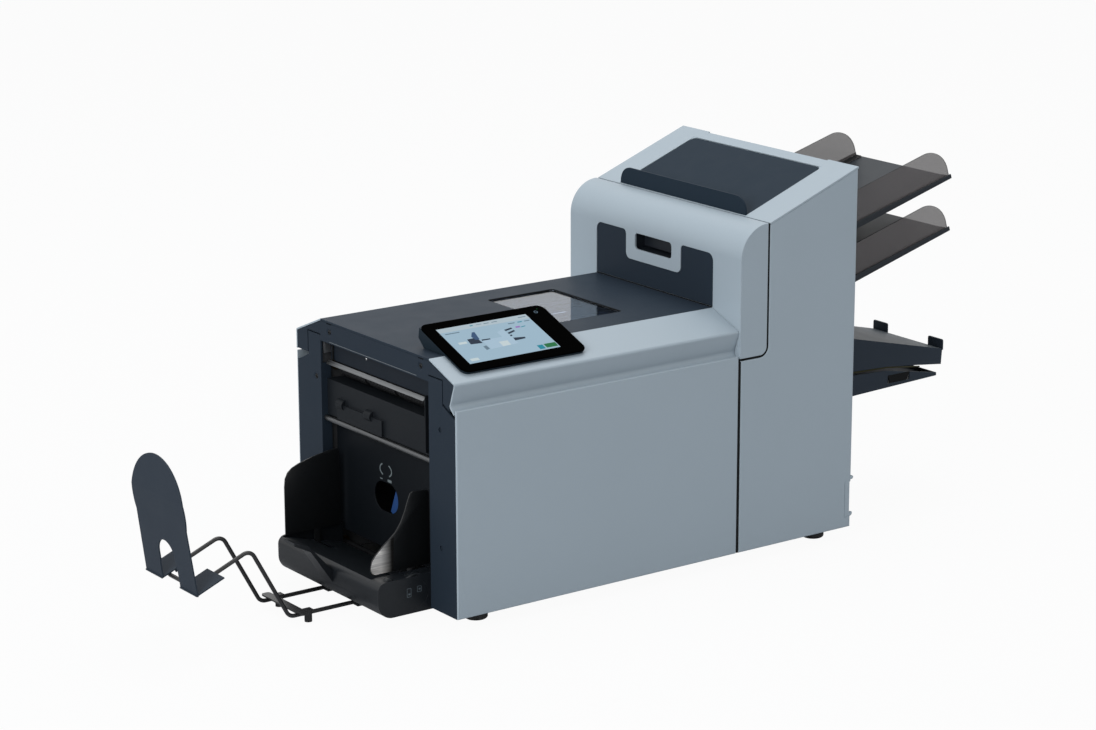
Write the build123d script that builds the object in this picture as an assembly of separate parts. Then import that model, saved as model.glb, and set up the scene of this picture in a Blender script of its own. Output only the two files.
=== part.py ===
from build123d import *
from math import atan2, cos, degrees, hypot, pi, radians, sin, sqrt, tan
import os

# Folder inserter. Millimetres, +Z up. The front (operator) side faces -Y and the
# envelope output end faces -X. Sizes along X are counted from the output end of the
# casing and moved to the middle of the whole object when the parts are written.

# Casing
deck_length = 502.0        # output end to the face of the hood
tower_length = 222.0       # face of the hood to the feeder end
depth = 420.0              # front casing face to rear casing face
foot_height = 20.0         # ground to the lower edge of the casing
lid_height = 384.0         # top face of the lid
split_drop = 61.0          # lid to the top edge of the lower casing
hood_height = 516.0        # top of the hood, low edge of the tower roof
tower_height = 580.0       # high edge of the tower roof
skin = 3.0                 # wall of the moulded covers
panel_round = 2.2          # rounded edges of the flat covers
side_gap = 2.0             # half the joint between deck panel and tower cover
part_gap = 3.0             # parting joint between upper unit and lower casing

# Clearances and cuts
hair_gap = 0.4             # joint between two covers that are fixed together
slide_gap = 0.3            # between sliding pieces
shaft_gap = 0.05           # radial clearance of a shaft in its bush
overrun = 6.0              # how far a cut runs past what it cuts

# Hood at the front of the tower
hood_reach = 50.0          # depth of the hood, also the radius of its shoulder
hood_gap = 3.5             # open joint between hood and tower
hood_tuck = 4.0            # its lower edge, below the top edge of the lower casing
hood_corner = 12.0         # rounded lower corner of its side walls
inlay_over = 0.5           # side edges of the dark inlay, past the edges of the lid
inlay_bottom = 385.0
inlay_top = 465.0
inlay_round = 12.0
inlay_step = 1.0           # how deep the inlay lies in the face
inlay_wall = 2.0
inlay_gap_half = 67.0      # pale frame round the grip
inlay_gap_bottom = 421.0
inlay_gap_round = 10.0
grip_half = 45.0           # grip opening
grip_bottom = 438.5
grip_top = 463.5
grip_round = 6.0
cup_depth = 38.0           # grip cup behind the opening
cup_wall = 2.0
cup_margin = 2.0
paddle_wall = 3.0          # release paddle in the grip
paddle_pin = 2.2
paddle_set_share = 0.45    # share of the cup depth at which the paddle hangs
paddle_gap = 3.0

# Lid, window and edge covers of the upper unit
lid_front_inset = 66.0     # front edge of the lid, from the casing face
lid_rear_inset = 68.5
lid_wall = 3.0
window_length = 122.0      # window in the lid, along the deck
window_to_hood = 120.0     # its far edge to the face of the hood
window_front = 84.0
window_rear = 92.0
window_round = 6.0
window_wall = 2.0
edge_wall = 2.5            # wall of the ledge and of the rear edge cover
nose_inset = 2.0           # nose of the ledge, from the casing face
nose_drop = 24.0           # below the lid
channel_inset = 14.0       # finger channel below the nose
channel_rise = 3.0         # above the lower casing
lip_inset = 4.0            # lower lip of the ledge
lip_drop = 6.0             # behind the top edge of the lower casing
nose_round = 4.0
channel_round = 7.0
rear_edge_drop = 28.4      # below the lid, where the rear slope meets the rear face

# End plate of the upper unit and the end columns below it
end_wall = 3.0
bar_drop = 33.0            # lid to the lower edge of the end plate between the columns
tab_drop = 25.0            # lid to the top of the two column tabs
tab_gap = 2.0
tab_width = 34.0
bay_step = 3.0             # edge of the output bay, inside the inner face of a side frame
ear_rise = 4.0             # lower edge of the ears outside the tabs, above the lower casing
ear_slope_inset = 16.0     # the front ear slopes down towards the ledge
ear_slope_drop = 4.0
return_depth = 17.0        # inward flange of a column
column_outer_drop = 13.0   # shoulders fall outwards below the lip of the ledge
column_slope_drop = 8.0
screw_head = 3.6           # radius of a screw head
screw_rise = 1.6
screw_plate_drop = 12.0    # screws of the end plate, below the lid
screw_plate_inset = 24.0   # from the edge of the bay
screw_high_drop = 33.0     # upper screws of the columns, below the top edge of the lower casing
screw_low = 115.0
screw_offset = 23.0        # from the edge of the bay

# Touch screen
screen_length = 211.5
screen_width = 122.0
screen_start = 24.5        # left edge, along the deck
screen_inset = 17.2        # front edge on the ledge, from the casing face
screen_lift = 6.6          # glass face above the ledge face, square to it
glass_wall = 2.5
glass_round = 12.0
shell_inset = 1.2
shell_back = 15.0          # depth of the housing at its rear edge
shell_overhang = 7.0
shell_chamfer = 14.0

# Inner frame of the upper unit
rail_step = 7.0            # inner face of a rail, inside that of a side frame
rail_wall = 2.5
rail_height = 49.0
rail_start = 4.0
rail_end_gap = 4.0
guide_drop = 32.0          # lid to the paper guide plate between the rails
guide_wall = 2.0
guide_start = 44.0
pivot_x = 9.0              # pins about which the upper unit swings
pivot_drop = 42.0          # below the lid
pivot_radius = 5.0
pivot_over = 3.0           # how far a pin stands out of a side frame

# Steel side frames and ties
frame_inset = 65.0         # inner face of a side frame, from the casing face
frame_wall = 3.0
frame_start = 4.0
frame_end_gap = 8.0        # from the tower end face
frame_bottom = 24.0
frame_top_drop = 7.0       # below the top edge of the lower casing
frame_ear_end = 30.0
frame_ear_drop = 29.0      # below the lid
frame_drop = 16.0          # side frame below the tower roof
tie_radius = 4.0
tie_low = 60.0             # height of the lower ties
tie_top_drop = 27.0        # upper tie, below the top edge of the lower casing
tie_start = 120.0          # first tie, from the output end
tie_back_far = 202.0       # next two, before the face of the hood
tie_back_near = 32.0
tie_tower_inset = 62.0     # last one, before the tower end face
bay_rod_x = 8.0            # bright rod across the bay
bay_rod_drop = 90.0        # below the top edge of the lower casing

# Base tray and feet
base_wall = 3.0
base_inset = 3.4
base_flange = 18.0
foot_radius = 17.0
foot_inset_y = 44.0        # from the casing face to the middle of a foot
foot_left = 60.0
foot_right_inset = 37.0    # from the tower end face
foot_bevel = 2.0

# Tower covers
shoulder_round = 15.5      # inner corner of the tower cover round the hood
roof_notch_depth = 3.0     # lowered middle of the roof's high edge
roof_notch_half = 142.0
vent_count = 12
vent_wide = 4.0
vent_tall = 46.0
vent_pitch = 12.0
vent_start = 120.0         # first vent, along the deck
vent_bottom = 70.0

# Flap panel on the roof
flap_start = 3.0           # along the roof, from its low edge
flap_end = 156.5
flap_front = 150.0         # edges from the middle plane
flap_rear = 155.0
flap_wall = 2.5
flap_sink = 0.5
flap_round = 12.0
flap_gap = 1.0
flap_end_gap = 1.8
flap_pin = 2.2
flap_pin_inset = 2.2
flap_pin_depth = 3.0
lip_rise = 26.0
lip_corner = 23.0
pan_depth = 9.0
pan_wall = 5.0

# Sheet trays at the feeder end
tray_slope = 16.0          # degrees, rising away from the tower
tray_run = 281.0           # tower end face to the far edge of a tray, level
tray_drop = 135.6          # roof edge to the upper edge of the upper tray, at the tower
tray_pitch = 83.7          # upper tray to lower tray
tray_half = 113.0
tray_floor = 2.5
tray_edge = 2.5
tray_edge_rise = 9.0
tray_edge_end_rise = 4.5
tray_in = 10.0             # how far a tray reaches into the tower
guide_plate = 2.0          # smoked side guides
guide_rise = 46.0
guide_foot = 14.0
guide_end_round = 42.0
guide_from = 1.0           # start of a guide outside the tower
tray_rod_radius = 4.0
tray_rod_in = 4.0          # rod that carries a tray, inside the end cover
slot_margin = 5.0
slot_over = 26.0           # slot height above a tray floor

# Insert tray, its cover and latch
insert_slope = 13.3        # degrees, falling away from the tower
insert_run = 303.5
insert_drop = 61.7         # lower sheet tray to the face of the insert tray, at the tower
insert_half = 82.6
insert_wall = 2.0
insert_skirt = 75.0        # depth of the side skirt at the tower
insert_skirt_mid = 38.0
insert_mid_share = 0.63
insert_skirt_end = 25.0
insert_tab = 15.0
insert_tab_wide = 34.0
insert_tab_round = 3.0
insert_in = 12.0
cover_drop = 82.0          # insert tray face to the upper edge of the insert cover, at the tower
cover_depth = 41.0
cover_run = 290.0
cover_tip_drop = 29.0      # its tip, below its upper edge at the tower
cover_mid_share = 0.62     # where its upper edge turns down
cover_mid_drop = 7.0
cover_wall = 2.5
cover_start = 8.0
cover_pin = 3.0
cover_pin_x = 10.0         # pin, from the tower end face
cover_pin_rise = 8.0
lug_wall = 5.0
lug_gap = 1.0
latch_start = 186.0        # latch, from the tower end face
latch_length = 46.0
latch_height = 12.0
latch_wall = 2.5
latch_drop = 3.5           # below the upper edge of the cover
latch_pin = 1.0

# Output rollers and chute
path_y = 6.0               # middle of the envelope path
exit_x = 28.0
exit_drop = 12.0           # below the top edge of the lower casing
exit_radius = 12.0
exit_inset = 28.0          # ends of the roller, from the edge of the bay
exit_core = 9.5
rib_pitch = 4.0
rib_share = 0.55
exit_segments = 3
segment_gap = 8.0
bar_x = 11.5               # bright guide bar in front of the roller
bar_rise = 6.5             # above the roller shaft
bar_wide = 5.0
bar_tall = 6.0
chute_x = 10.0
chute_top_drop = 18.5      # below the roller shaft
chute_wall = 2.0
chute_inset = 24.0         # its front cheek, from the edge of the bay
chute_shelf_drop = 85.0    # shelf below the top edge of the lower casing
knob_radius = 8.0
knob_length = 17.0
knob_inset = 42.0          # outer wheel, from the edge of the bay
knob_near = 25.0
knob_drop = 61.0           # below the top edge of the lower casing
knob_boss_inset = 32.0     # raised middle of the plate, from the edge of the bay
knob_boss_from = -10.0
knob_boss_out = 4.0
wall_x = 25.0              # back wall of the hopper
wall_bottom = 62.0

# Separation lever behind the back wall
lever_y = 10.0
lever_pivot_z = 78.0
lever_reach = 62.0         # pivot to the middle of the blue head
lever_head_wide = 17.0
lever_head_tall = 40.0
lever_wall = 6.0
lever_arm_wide = 9.0
lever_pin = 3.0
lever_rest = 22.0          # degrees from upright, towards the front
slot_half_wide = 31.0
slot_tall = 44.0

# Envelope hopper
hopper_left = 88.0         # reach beyond the output end
hopper_right = 22.0
hopper_rear_inset = 13.0   # rear cheek, from the edge of the bay
hopper_bottom = 18.0
hopper_top = 72.0
hopper_round = 12.0
hopper_belly = 24.0        # rounded lower outer edge
hopper_wall = 3.0
well_front_inset = 26.0    # sloping well between the cheeks, from the edge of the bay
well_rear_inset = 16.0
well_low = 42.0            # floor of the well at its inner end
arm_half = 14.0            # arm that carries the back of the stack
arm_y = -8.0
arm_reach = 150.0
arm_height = 112.0
arm_wall = 9.0
arm_knee_share = 0.62
wheel_x = -25.0            # hand wheel and spindle of the envelope guides
wheel_z = 46.0
wheel_radius = 28.0
wheel_wide = 9.0
wheel_inset = 6.0          # front face of the wheel, from the edge of the bay
wheel_gap = 1.2
arch_radius = 20.0         # opening in front of the wheel
wheel_notches = 24
wheel_notch = 1.6
spindle_radius = 3.5
spindle_inset = 15.5       # far end of the spindle, from the edge of the bay
nut_half = 5.0
nut_wide = 10.0
guide_rest_front_inset = 31.0   # envelope guides at rest, from the edge of the bay
guide_rest_rear_inset = 19.0
guide_travel = 45.0
env_wall = 2.0
env_bottom = 73.5
env_left = 81.0
neck_wide = 10.0
env_front_share = ((-1.0, 0.05), (-0.98, 0.17), (-0.6, 0.44), (-0.39, 0.56),
                   (-0.3, 0.71), (-0.14, 0.98), (0.235, 1.0), (0.235, 0.0), (-0.91, 0.0))
env_front_fill = 0.702      # its height, share of the way up to the bright rod
env_rear_share = ((-0.98, 0.0), (-0.98, 0.83), (-0.2, 1.0), (0.16, 0.99), (0.19, 0.92), (0.19, 0.0))
env_rear_fill = 0.7335

# Wire stacker with its stop plate
wire_radius = 3.0
wire_half = 40.0
wire_z = 13.0
wire_inner = 30.0          # inner ends of the wire
wire_foot_x = -172.0       # lower bend
wire_peak_x = -232.0       # upper bend
wire_peak_z = 124.0
wire_end_x = -322.0
stack_slope = 22.4         # degrees, falling towards the stop
wire_bend = 14.0
clip_wall = 3.0
clip_long = 18.0
clip_places = (-62.0, -2.0)
foot_bar_x = -155.0
foot_bar_wide = 14.0
foot_bar_half = 56.0
foot_bar_wall = 2.5
foot_bar_round = 5.0
stub_radius = 5.5
stub_x = -141.0
stop_x = -333.0            # foot of the stop plate
stop_wall = 2.0
stop_lean = 8.1            # degrees
stop_fold = 217.0
stop_top = 274.0
stop_half = 72.0
stop_neck_half = 69.0
stop_head_radius = 73.0
stop_cut_half = 25.0
stop_cut_top = 130.0
stop_foot = 46.0
stop_bottom = 84.5
saddle_wall = 2.5
saddle_long = 22.0

# Drive inside the frame
fold_radius = 14.0
gear_module = 1.5
gear_teeth = 20
gear_wide = 7.0
gear_slack = 0.25          # taken off the pitch line of each tooth flank
fold_in = 90.0             # first fold roller, behind the face of the hood
fold_z = 236.0
fold_turn = 50.0           # degrees, third roller above the second
shaft_radius = 4.0
shaft_over = 2.0           # how far a shaft stands out of a side frame
bush_radius = 7.0
bush_flange = 9.0
bush_flange_wall = 1.2
roller_inset = 13.0        # ends of a roller, inside a side frame
feed_radius = 14.0
feed_back = 28.0           # feed rollers, from the tower end face
feed_half = 60.0
insert_feed_half = 50.0
hopper_feed_x = 36.0
hopper_feed_z = 36.0
hopper_feed_radius = 10.0
hopper_feed_half = 45.0
pulley_big = 18.0
pulley_small = 9.0
pulley_wide = 9.0
pulley_over = 12.5         # inner face of the pulleys, from the outer face of a side frame
belt_wall = 1.8
belt_inset = 1.0
motor_z = 120.0
motor_radius = 32.0
motor_length = 86.0
motor_shaft = 4.0
motor_foot = 8.0
supply_back = 190.0        # start of the supply, before the face of the hood
supply_length = 150.0
supply_width = 96.0
supply_height = 52.0
supply_y = 60.0
inlet_inset = 64.0         # middle of the inlet, before the tower end face
inlet_z = 80.0
inlet_wide = 48.0
inlet_tall = 30.0
inlet_deep = 26.0
inlet_lip = 2.0
inlet_flange = 1.5
pin_wide = 2.0
pin_tall = 4.0
pin_long = 16.0
pin_pitch = 7.0
pin_drop = 4.0
switch_wide = 13.0
switch_tall = 22.0
switch_deep = 9.0
switch_tilt = 7.0          # degrees, half the rocker's travel
switch_pin = 1.5

# Places that follow from the sizes above
half = depth / 2
lid_front = half - lid_front_inset
lid_rear = half - lid_rear_inset
inlay_front = lid_front + inlay_over
inlay_rear = lid_rear + inlay_over
split_height = lid_height - split_drop
hood_bottom = split_height - hood_tuck
tower_end = deck_length + tower_length
window_end = deck_length - window_to_hood
window_start = window_end - window_length
frame_inner = half - frame_inset
frame_outer = frame_inner + frame_wall
frame_end = tower_end - frame_end_gap
rail_inner = frame_inner - rail_step
pivot_reach = frame_outer + pivot_over
shaft_reach = frame_outer + shaft_over
roller_half = frame_inner - roller_inset
pulley_y = frame_outer + pulley_over
bay_half = frame_inner - bay_step
bay_rod_z = split_height - bay_rod_drop
screw_plate_reach = bay_half - screw_plate_inset
screw_reach = bay_half + screw_offset
screw_high = split_height - screw_high_drop
tie_places = ((tie_start, tie_low), (deck_length - tie_back_far, tie_low),
              (deck_length - tie_back_near, tie_low), (tower_end - tie_tower_inset, tie_low),
              (deck_length - tie_back_far, split_height - tie_top_drop))
foot_right = tower_end - foot_right_inset
exit_half = bay_half - exit_inset
chute_front = bay_half - chute_inset
chute_shelf = split_height - chute_shelf_drop
knob_places = (bay_half - knob_inset, knob_near)
knob_z = split_height - knob_drop
hopper_front = bay_half
hopper_rear = bay_half - hopper_rear_inset
well_front = bay_half - well_front_inset
well_rear = bay_half - well_rear_inset
wheel_front = bay_half - wheel_inset
spindle_rear = bay_half - spindle_inset
guide_rest_front = bay_half - guide_rest_front_inset
guide_rest_rear = bay_half - guide_rest_rear_inset
env_front_height = (bay_rod_z - env_bottom) * env_front_fill
env_rear_height = (bay_rod_z - env_bottom) * env_rear_fill
fold_x = deck_length + fold_in
motor_x = fold_x
supply_start = deck_length - supply_back
inlet_x = tower_end - inlet_inset
nose_reach = half - nose_inset
nose_height = lid_height - nose_drop
channel_reach = half - channel_inset
channel_height = split_height + channel_rise
lip_reach = half - lip_inset
lip_height = split_height - lip_drop
rear_edge_height = lid_height - rear_edge_drop
bar_bottom = lid_height - bar_drop
tab_top = lid_height - tab_drop
tab_outer = bay_half + tab_width
ear_bottom = split_height + ear_rise
ear_slope_reach = half - ear_slope_inset
ear_slope_bottom = split_height - ear_slope_drop
column_outer_top = split_height - column_outer_drop
column_slope_top = split_height - column_slope_drop
screen_front = half - screen_inset
screw_plate_height = lid_height - screw_plate_drop
frame_top = split_height - frame_top_drop
frame_ear_top = lid_height - frame_ear_drop
rail_bottom = lid_height - lid_wall - rail_height
guide_height = lid_height - guide_drop
pivot_z = lid_height - pivot_drop
tray_upper = tower_height - tray_drop
insert_height = tray_upper - tray_pitch - insert_drop
cover_top = insert_height - cover_drop
cover_bottom = cover_top - cover_depth
cover_tip = cover_top - cover_tip_drop
exit_z = split_height - exit_drop
bar_z = exit_z + bar_rise
chute_top = exit_z - chute_top_drop
hood_end = deck_length + hood_reach
tower_start = hood_end + hood_gap
shoulder_z = hood_bottom - hood_gap
roof_rise = tower_height - hood_height
roof_run = tower_end - tower_start
roof_angle = degrees(atan2(roof_rise, roof_run))
roof_length = hypot(roof_rise, roof_run)
ledge_angle = atan2(lid_height - nose_height, nose_reach - lid_front)
upper_end = deck_length - hair_gap
stack_tan = tan(radians(stack_slope))
insert_end = tower_end + insert_run
datum_x = (insert_end + stop_x - (stop_fold - stop_bottom) * tan(radians(stop_lean)) - stop_wall) / 2


def block(x, y, z):
    """Box between the low and high values given for each axis."""
    low, high = zip(x, y, z)
    size = [b - a for a, b in zip(low, high)]
    return Pos(*[(a + b) / 2 for a, b in zip(low, high)]) * Box(*size)


def outline(points, rounds=()):
    """Flat face through the points; rounds holds (corner number, radius) pairs."""
    face = make_face(Polyline(*points, close=True))
    for corner, radius in rounds:
        face = fillet(face.vertices().sort_by_distance((*points[corner], 0))[0], radius)
    return face


def along_x(face, x):
    """Push a (y, z) face between two x values."""
    return extrude(Plane.YZ.offset(x[0]) * face, x[1] - x[0])


def along_y(face, y):
    """Push an (x, z) face between two y values."""
    return extrude(Plane.XZ.offset(-y[1]) * face, y[1] - y[0])


def along_z(face, z):
    """Push an (x, y) face between two z values."""
    return extrude(Plane.XY.offset(z[0]) * face, z[1] - z[0])


def rod_x(radius, x, y, z):
    return Pos((x[0] + x[1]) / 2, y, z) * Rot(0, 90, 0) * Cylinder(radius, x[1] - x[0])


def rod_y(radius, x, y, z):
    return Pos(x, (y[0] + y[1]) / 2, z) * Rot(90, 0, 0) * Cylinder(radius, y[1] - y[0])


def rod_z(radius, x, y, z):
    return Pos(x, y, (z[0] + z[1]) / 2) * Cylinder(radius, z[1] - z[0])


def lathe_y(profile, x, z):
    """Turn a profile of (radius, y) points about an axis along Y."""
    return Pos(x, 0, z) * revolve(make_face(Polyline(*profile, close=True)), Axis.Y)


def mirrored(shape):
    """The shape and its mirror image across the middle plane."""
    return shape + mirror(shape, Plane.XZ)


def offset_line(points, distance):
    """Shift an open line of points to its left by a distance."""
    shifted = []
    for i, (a, b) in enumerate(points):
        steps = []
        for j in (i - 1, i):
            if 0 <= j < len(points) - 1:
                du, dv = points[j + 1][0] - points[j][0], points[j + 1][1] - points[j][1]
                steps.append((-dv / hypot(du, dv), du / hypot(du, dv)))
        nu, nv = sum(s[0] for s in steps), sum(s[1] for s in steps)
        scale = distance * len(steps) / (nu * nu + nv * nv)
        shifted.append((a + nu * scale, b + nv * scale))
    return shifted


def sheet_outline(points, wall, rounds=()):
    """Face of a bent sheet whose outer side follows the points, wall to their left."""
    inner = offset_line(points, wall)
    return outline(list(points) + inner[::-1], rounds)


def on_roof(shape):
    """Place a shape drawn along the level onto the sloping roof of the tower."""
    return Pos(tower_start, 0, hood_height) * Rot(0, -roof_angle, 0) * shape


def roof_z(x):
    return hood_height + (x - tower_start) * tan(radians(roof_angle))


# Base

def chassis():
    edge = half - skin - slide_gap
    x = (base_inset, tower_end - skin - slide_gap)
    low = foot_height + hair_gap
    tray = block(x, (-edge, edge), (low, low + base_wall))
    flange = block(x, (edge - base_wall, edge), (low, low + base_flange))
    return tray + mirrored(flange)


def feet():
    top = foot_height + hair_gap
    profile = [(0, 0), (foot_radius - foot_bevel, 0), (foot_radius, foot_bevel),
               (foot_radius, top), (0, top)]
    turned = Rot(90, 0, 0) * revolve(make_face(Polyline(*profile, close=True)), Axis.Y)
    place_y = half - foot_inset_y
    return [Pos(x, y, 0) * turned for x in (foot_left, foot_right) for y in (-place_y, place_y)]


def side_frame_outline():
    high_start = tower_start + part_gap
    points = [(frame_start, frame_bottom), (frame_end, frame_bottom),
              (frame_end, roof_z(frame_end) - frame_drop), (high_start, roof_z(high_start) - frame_drop),
              (high_start, frame_top), (frame_ear_end, frame_top), (frame_ear_end, frame_ear_top),
              (frame_start, frame_ear_top)]
    return outline(points)


def fold_places():
    pitch = gear_module * gear_teeth
    turn = radians(fold_turn)
    first = (fold_x, fold_z)
    second = (fold_x + pitch, fold_z)
    third = (second[0] + pitch * cos(turn), second[1] + pitch * sin(turn))
    return first, second, third


def tray_face_z(x, level):
    """Height of a tray floor, level 0 for the upper and 1 for the lower tray."""
    rise = (x - tower_end) * tan(radians(tray_slope))
    return tray_upper - level * tray_pitch - tray_edge_rise / cos(radians(tray_slope)) + rise


def feed_place(level):
    x = tower_end - feed_back
    return x, tray_face_z(x, level) - feed_radius


def insert_feed_place():
    x = tower_end - feed_back
    return x, insert_height + feed_back * tan(radians(insert_slope)) - insert_wall - feed_radius - slide_gap


def shaft_places():
    places = [(exit_x, exit_z), *fold_places(), feed_place(0), feed_place(1), insert_feed_place()]
    return places + [(hopper_feed_x, hopper_feed_z)]


def tray_rod_place(level):
    x = tower_end - skin - tray_rod_in
    drop = (tray_floor + tray_rod_radius) / cos(radians(tray_slope)) + slide_gap
    return x, tray_face_z(x, level) - drop


def side_frames():
    y = (frame_inner, frame_outer)
    plate = along_y(side_frame_outline(), y)
    cut_y = (frame_inner - overrun, frame_outer + overrun)
    for x, z in shaft_places():
        plate -= rod_y(bush_radius + shaft_gap, x, cut_y, z)
    for x, z in (*tie_places, (bay_rod_x, bay_rod_z), tray_rod_place(0), tray_rod_place(1)):
        plate -= rod_y(tie_radius + shaft_gap, x, cut_y, z)
    plate -= rod_y(pivot_radius + shaft_gap, pivot_x, cut_y, pivot_z)
    plate -= rod_y(motor_shaft + part_gap, motor_x, cut_y, motor_z)
    return mirrored(plate)


def tie_rods():
    reach = frame_outer
    y = (-reach, reach)
    rods = [rod_y(tie_radius, x, y, z) for x, z in tie_places]
    rods += [rod_y(tie_radius, bay_rod_x, y, bay_rod_z)]
    rods += [rod_y(tray_rod_radius, x, y, z) for x, z in (tray_rod_place(0), tray_rod_place(1))]
    return rods


def bearings():
    bushes = []
    for x, z in shaft_places():
        y = (frame_inner, frame_outer)
        flange_y = (frame_inner - bush_flange_wall, frame_inner)
        bush = rod_y(bush_radius, x, y, z) + rod_y(bush_flange, x, flange_y, z)
        bush -= rod_y(shaft_radius + shaft_gap, x, (flange_y[0] - overrun, y[1] + overrun), z)
        bushes += [bush, mirror(bush, Plane.XZ)]
    return bushes


# Lower casing

def deck_panel():
    x = (0, deck_length - side_gap)
    plate = block(x, (-half, -half + skin), (foot_height, split_height))
    face = plate.faces().sort_by(Axis.Y)[0]
    return fillet(face.edges(), panel_round)


def front_panel():
    return deck_panel()


def rear_panel():
    panel = mirror(deck_panel(), Plane.XZ)
    for i in range(vent_count):
        x = vent_start + i * vent_pitch
        cut = block((x, x + vent_wide), (half - skin - overrun, half + overrun),
                    (vent_bottom, vent_bottom + vent_tall))
        panel -= cut
    return panel


def tower_cover():
    low_x = deck_length + side_gap
    under = skin / cos(radians(roof_angle)) + hair_gap
    points = [(low_x, foot_height), (tower_end, foot_height), (tower_end, roof_z(tower_end) - under),
              (tower_start, roof_z(tower_start) - under), (tower_start, shoulder_z), (low_x, shoulder_z)]
    cover = along_y(outline(points, [(4, shoulder_round)]), (-half, -half + skin))
    face = cover.faces().sort_by(Axis.Y)[0]
    lower = face.edges().filter_by(Axis.Z) + face.edges().filter_by(Axis.X)
    return fillet(lower, panel_round)


def tower_front_cover():
    return tower_cover()


def tower_rear_cover():
    cover = mirror(tower_cover(), Plane.XZ)
    y = (half - skin - overrun, half + overrun)
    cover -= block((inlet_x - inlet_wide / 2 - slide_gap, inlet_x + inlet_wide / 2 + slide_gap), y,
                   (inlet_z - inlet_tall / 2 - slide_gap, inlet_z + inlet_tall / 2 + slide_gap))
    return cover


def tower_end_cover():
    edge = half - skin - slide_gap
    x = (tower_end - skin, tower_end)
    top = roof_z(tower_end - skin) - skin / cos(radians(roof_angle)) - hair_gap
    cover = block(x, (-edge, edge), (foot_height, top))
    cut_x = (x[0] - overrun, x[1] + overrun)
    for level in (0, 1):
        low = tray_face_z(tower_end - skin, level) - tray_floor - tray_edge
        slot = tray_half + slot_margin
        cover -= block(cut_x, (-slot, slot), (low, low + slot_over + tray_edge_rise))
    slot = insert_half + slot_margin
    low = insert_height - insert_wall - slot_margin
    cover -= block(cut_x, (-slot, slot), (low, low + slot_over))
    lug_low = cover_bottom + cover_pin_rise - lug_wall
    lug_y = (insert_half + lug_gap, insert_half + lug_gap + lug_wall)
    lug_x = (tower_end, tower_end + cover_pin_x + lug_wall)
    lug = block(lug_x, lug_y, (lug_low, lug_low + 2 * lug_wall))
    lug -= rod_y(cover_pin + shaft_gap, tower_end + cover_pin_x, (lug_y[0] - overrun, lug_y[1] + overrun),
                 cover_bottom + cover_pin_rise)
    return cover + mirrored(lug)


def tower_top_cover():
    plate = block((0, roof_length), (-half, half), (-skin, 0))
    notch_x = (roof_length - roof_notch_depth, roof_length + overrun)
    plate -= block(notch_x, (-roof_notch_half, roof_notch_half), (-skin - overrun, overrun))
    x = (flap_start - flap_gap, flap_end + flap_end_gap)
    y = (-flap_front - flap_gap, flap_rear + flap_gap)
    outer = block((x[0], x[1] + pan_wall), (y[0] - pan_wall, y[1] + pan_wall),
                  (-pan_depth - skin, -skin / 2))
    inner = block(x, y, (-pan_depth, overrun))
    pin_y = (y[0] - pan_wall / 2, y[1] + pan_wall / 2)
    bore = rod_y(flap_pin + shaft_gap, flap_end - flap_pin_inset, pin_y, -flap_pin_depth)
    return on_roof(plate + outer - inner - bore)


def flap_panel():
    y = (-flap_front, flap_rear)
    z = (-flap_sink - flap_wall, -flap_sink)
    corner = [(flap_start, y[0]), (flap_end, y[0]), (flap_end, y[1]), (flap_start, y[1])]
    panel = along_z(outline(corner, [(1, flap_round), (2, flap_round)]), z)
    pin_x = flap_end - flap_pin_inset
    pin_reach = pan_wall / 2 - slide_gap
    pin = rod_y(flap_pin, pin_x, (y[0] - flap_gap - pin_reach, y[1] + flap_gap + pin_reach),
                -flap_pin_depth)
    placed = on_roof(panel + pin)
    foot_x = tower_start + (flap_start + flap_wall / 2) * cos(radians(roof_angle))
    foot_z = roof_z(foot_x) - flap_sink - flap_wall
    top = foot_z + lip_rise + flap_wall
    lip = outline([(y[0], foot_z), (y[1], foot_z), (y[1], top), (y[0], top)],
                  [(2, lip_corner), (3, lip_corner)])
    return placed + along_x(lip, (foot_x - flap_wall / 2, foot_x + flap_wall / 2))


def end_columns():
    inner = bay_half
    outer = half - skin - slide_gap
    top = split_height
    points = [(inner, foot_height), (outer, foot_height), (outer, column_outer_top),
              (ear_slope_reach, column_slope_top), (tab_outer + tab_gap, top), (tab_outer, top),
              (tab_outer, tab_top), (inner, tab_top)]
    plate = along_x(outline(points), (0, end_wall))
    flange_y = (inner, frame_inner - slide_gap)
    flange = block((0, return_depth), flange_y, (frame_bottom, frame_top))
    flange -= rod_y(tie_radius + slide_gap, bay_rod_x, (flange_y[0] - overrun, flange_y[1] + overrun),
                    bay_rod_z)
    return mirrored(plate + flange)


def frame_screws():
    heads = []
    for side in (-1, 1):
        for z in (screw_low, screw_high):
            heads.append(rod_x(screw_head, (-screw_rise, 0), side * screw_reach, z))
    return heads


def top_screws():
    return [rod_x(screw_head, (-screw_rise, 0), side * screw_plate_reach, screw_plate_height)
            for side in (-1, 1)]


# Upper unit

def ledge_line():
    return [(-lid_front, lid_height), (-nose_reach, nose_height),
            (-channel_reach, channel_height), (-lip_reach, lip_height)]


def rear_line():
    return [(half, split_height + part_gap), (half, rear_edge_height), (lid_rear, lid_height)]


def lid():
    plate = block((0, upper_end), (-lid_front + hair_gap, lid_rear - hair_gap),
                  (lid_height - lid_wall, lid_height))
    corner = [(window_start, -window_front), (window_end, -window_front),
              (window_end, window_rear), (window_start, window_rear)]
    hole = along_z(outline(corner, [(i, window_round) for i in range(4)]),
                   (lid_height - lid_wall - overrun, lid_height + overrun))
    return plate - hole


def window():
    g = slide_gap
    corner = [(window_start + g, -window_front + g), (window_end - g, -window_front + g),
              (window_end - g, window_rear - g), (window_start + g, window_rear - g)]
    top = lid_height - slide_gap
    return along_z(outline(corner, [(i, window_round - g) for i in range(4)]), (top - window_wall, top))


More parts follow.
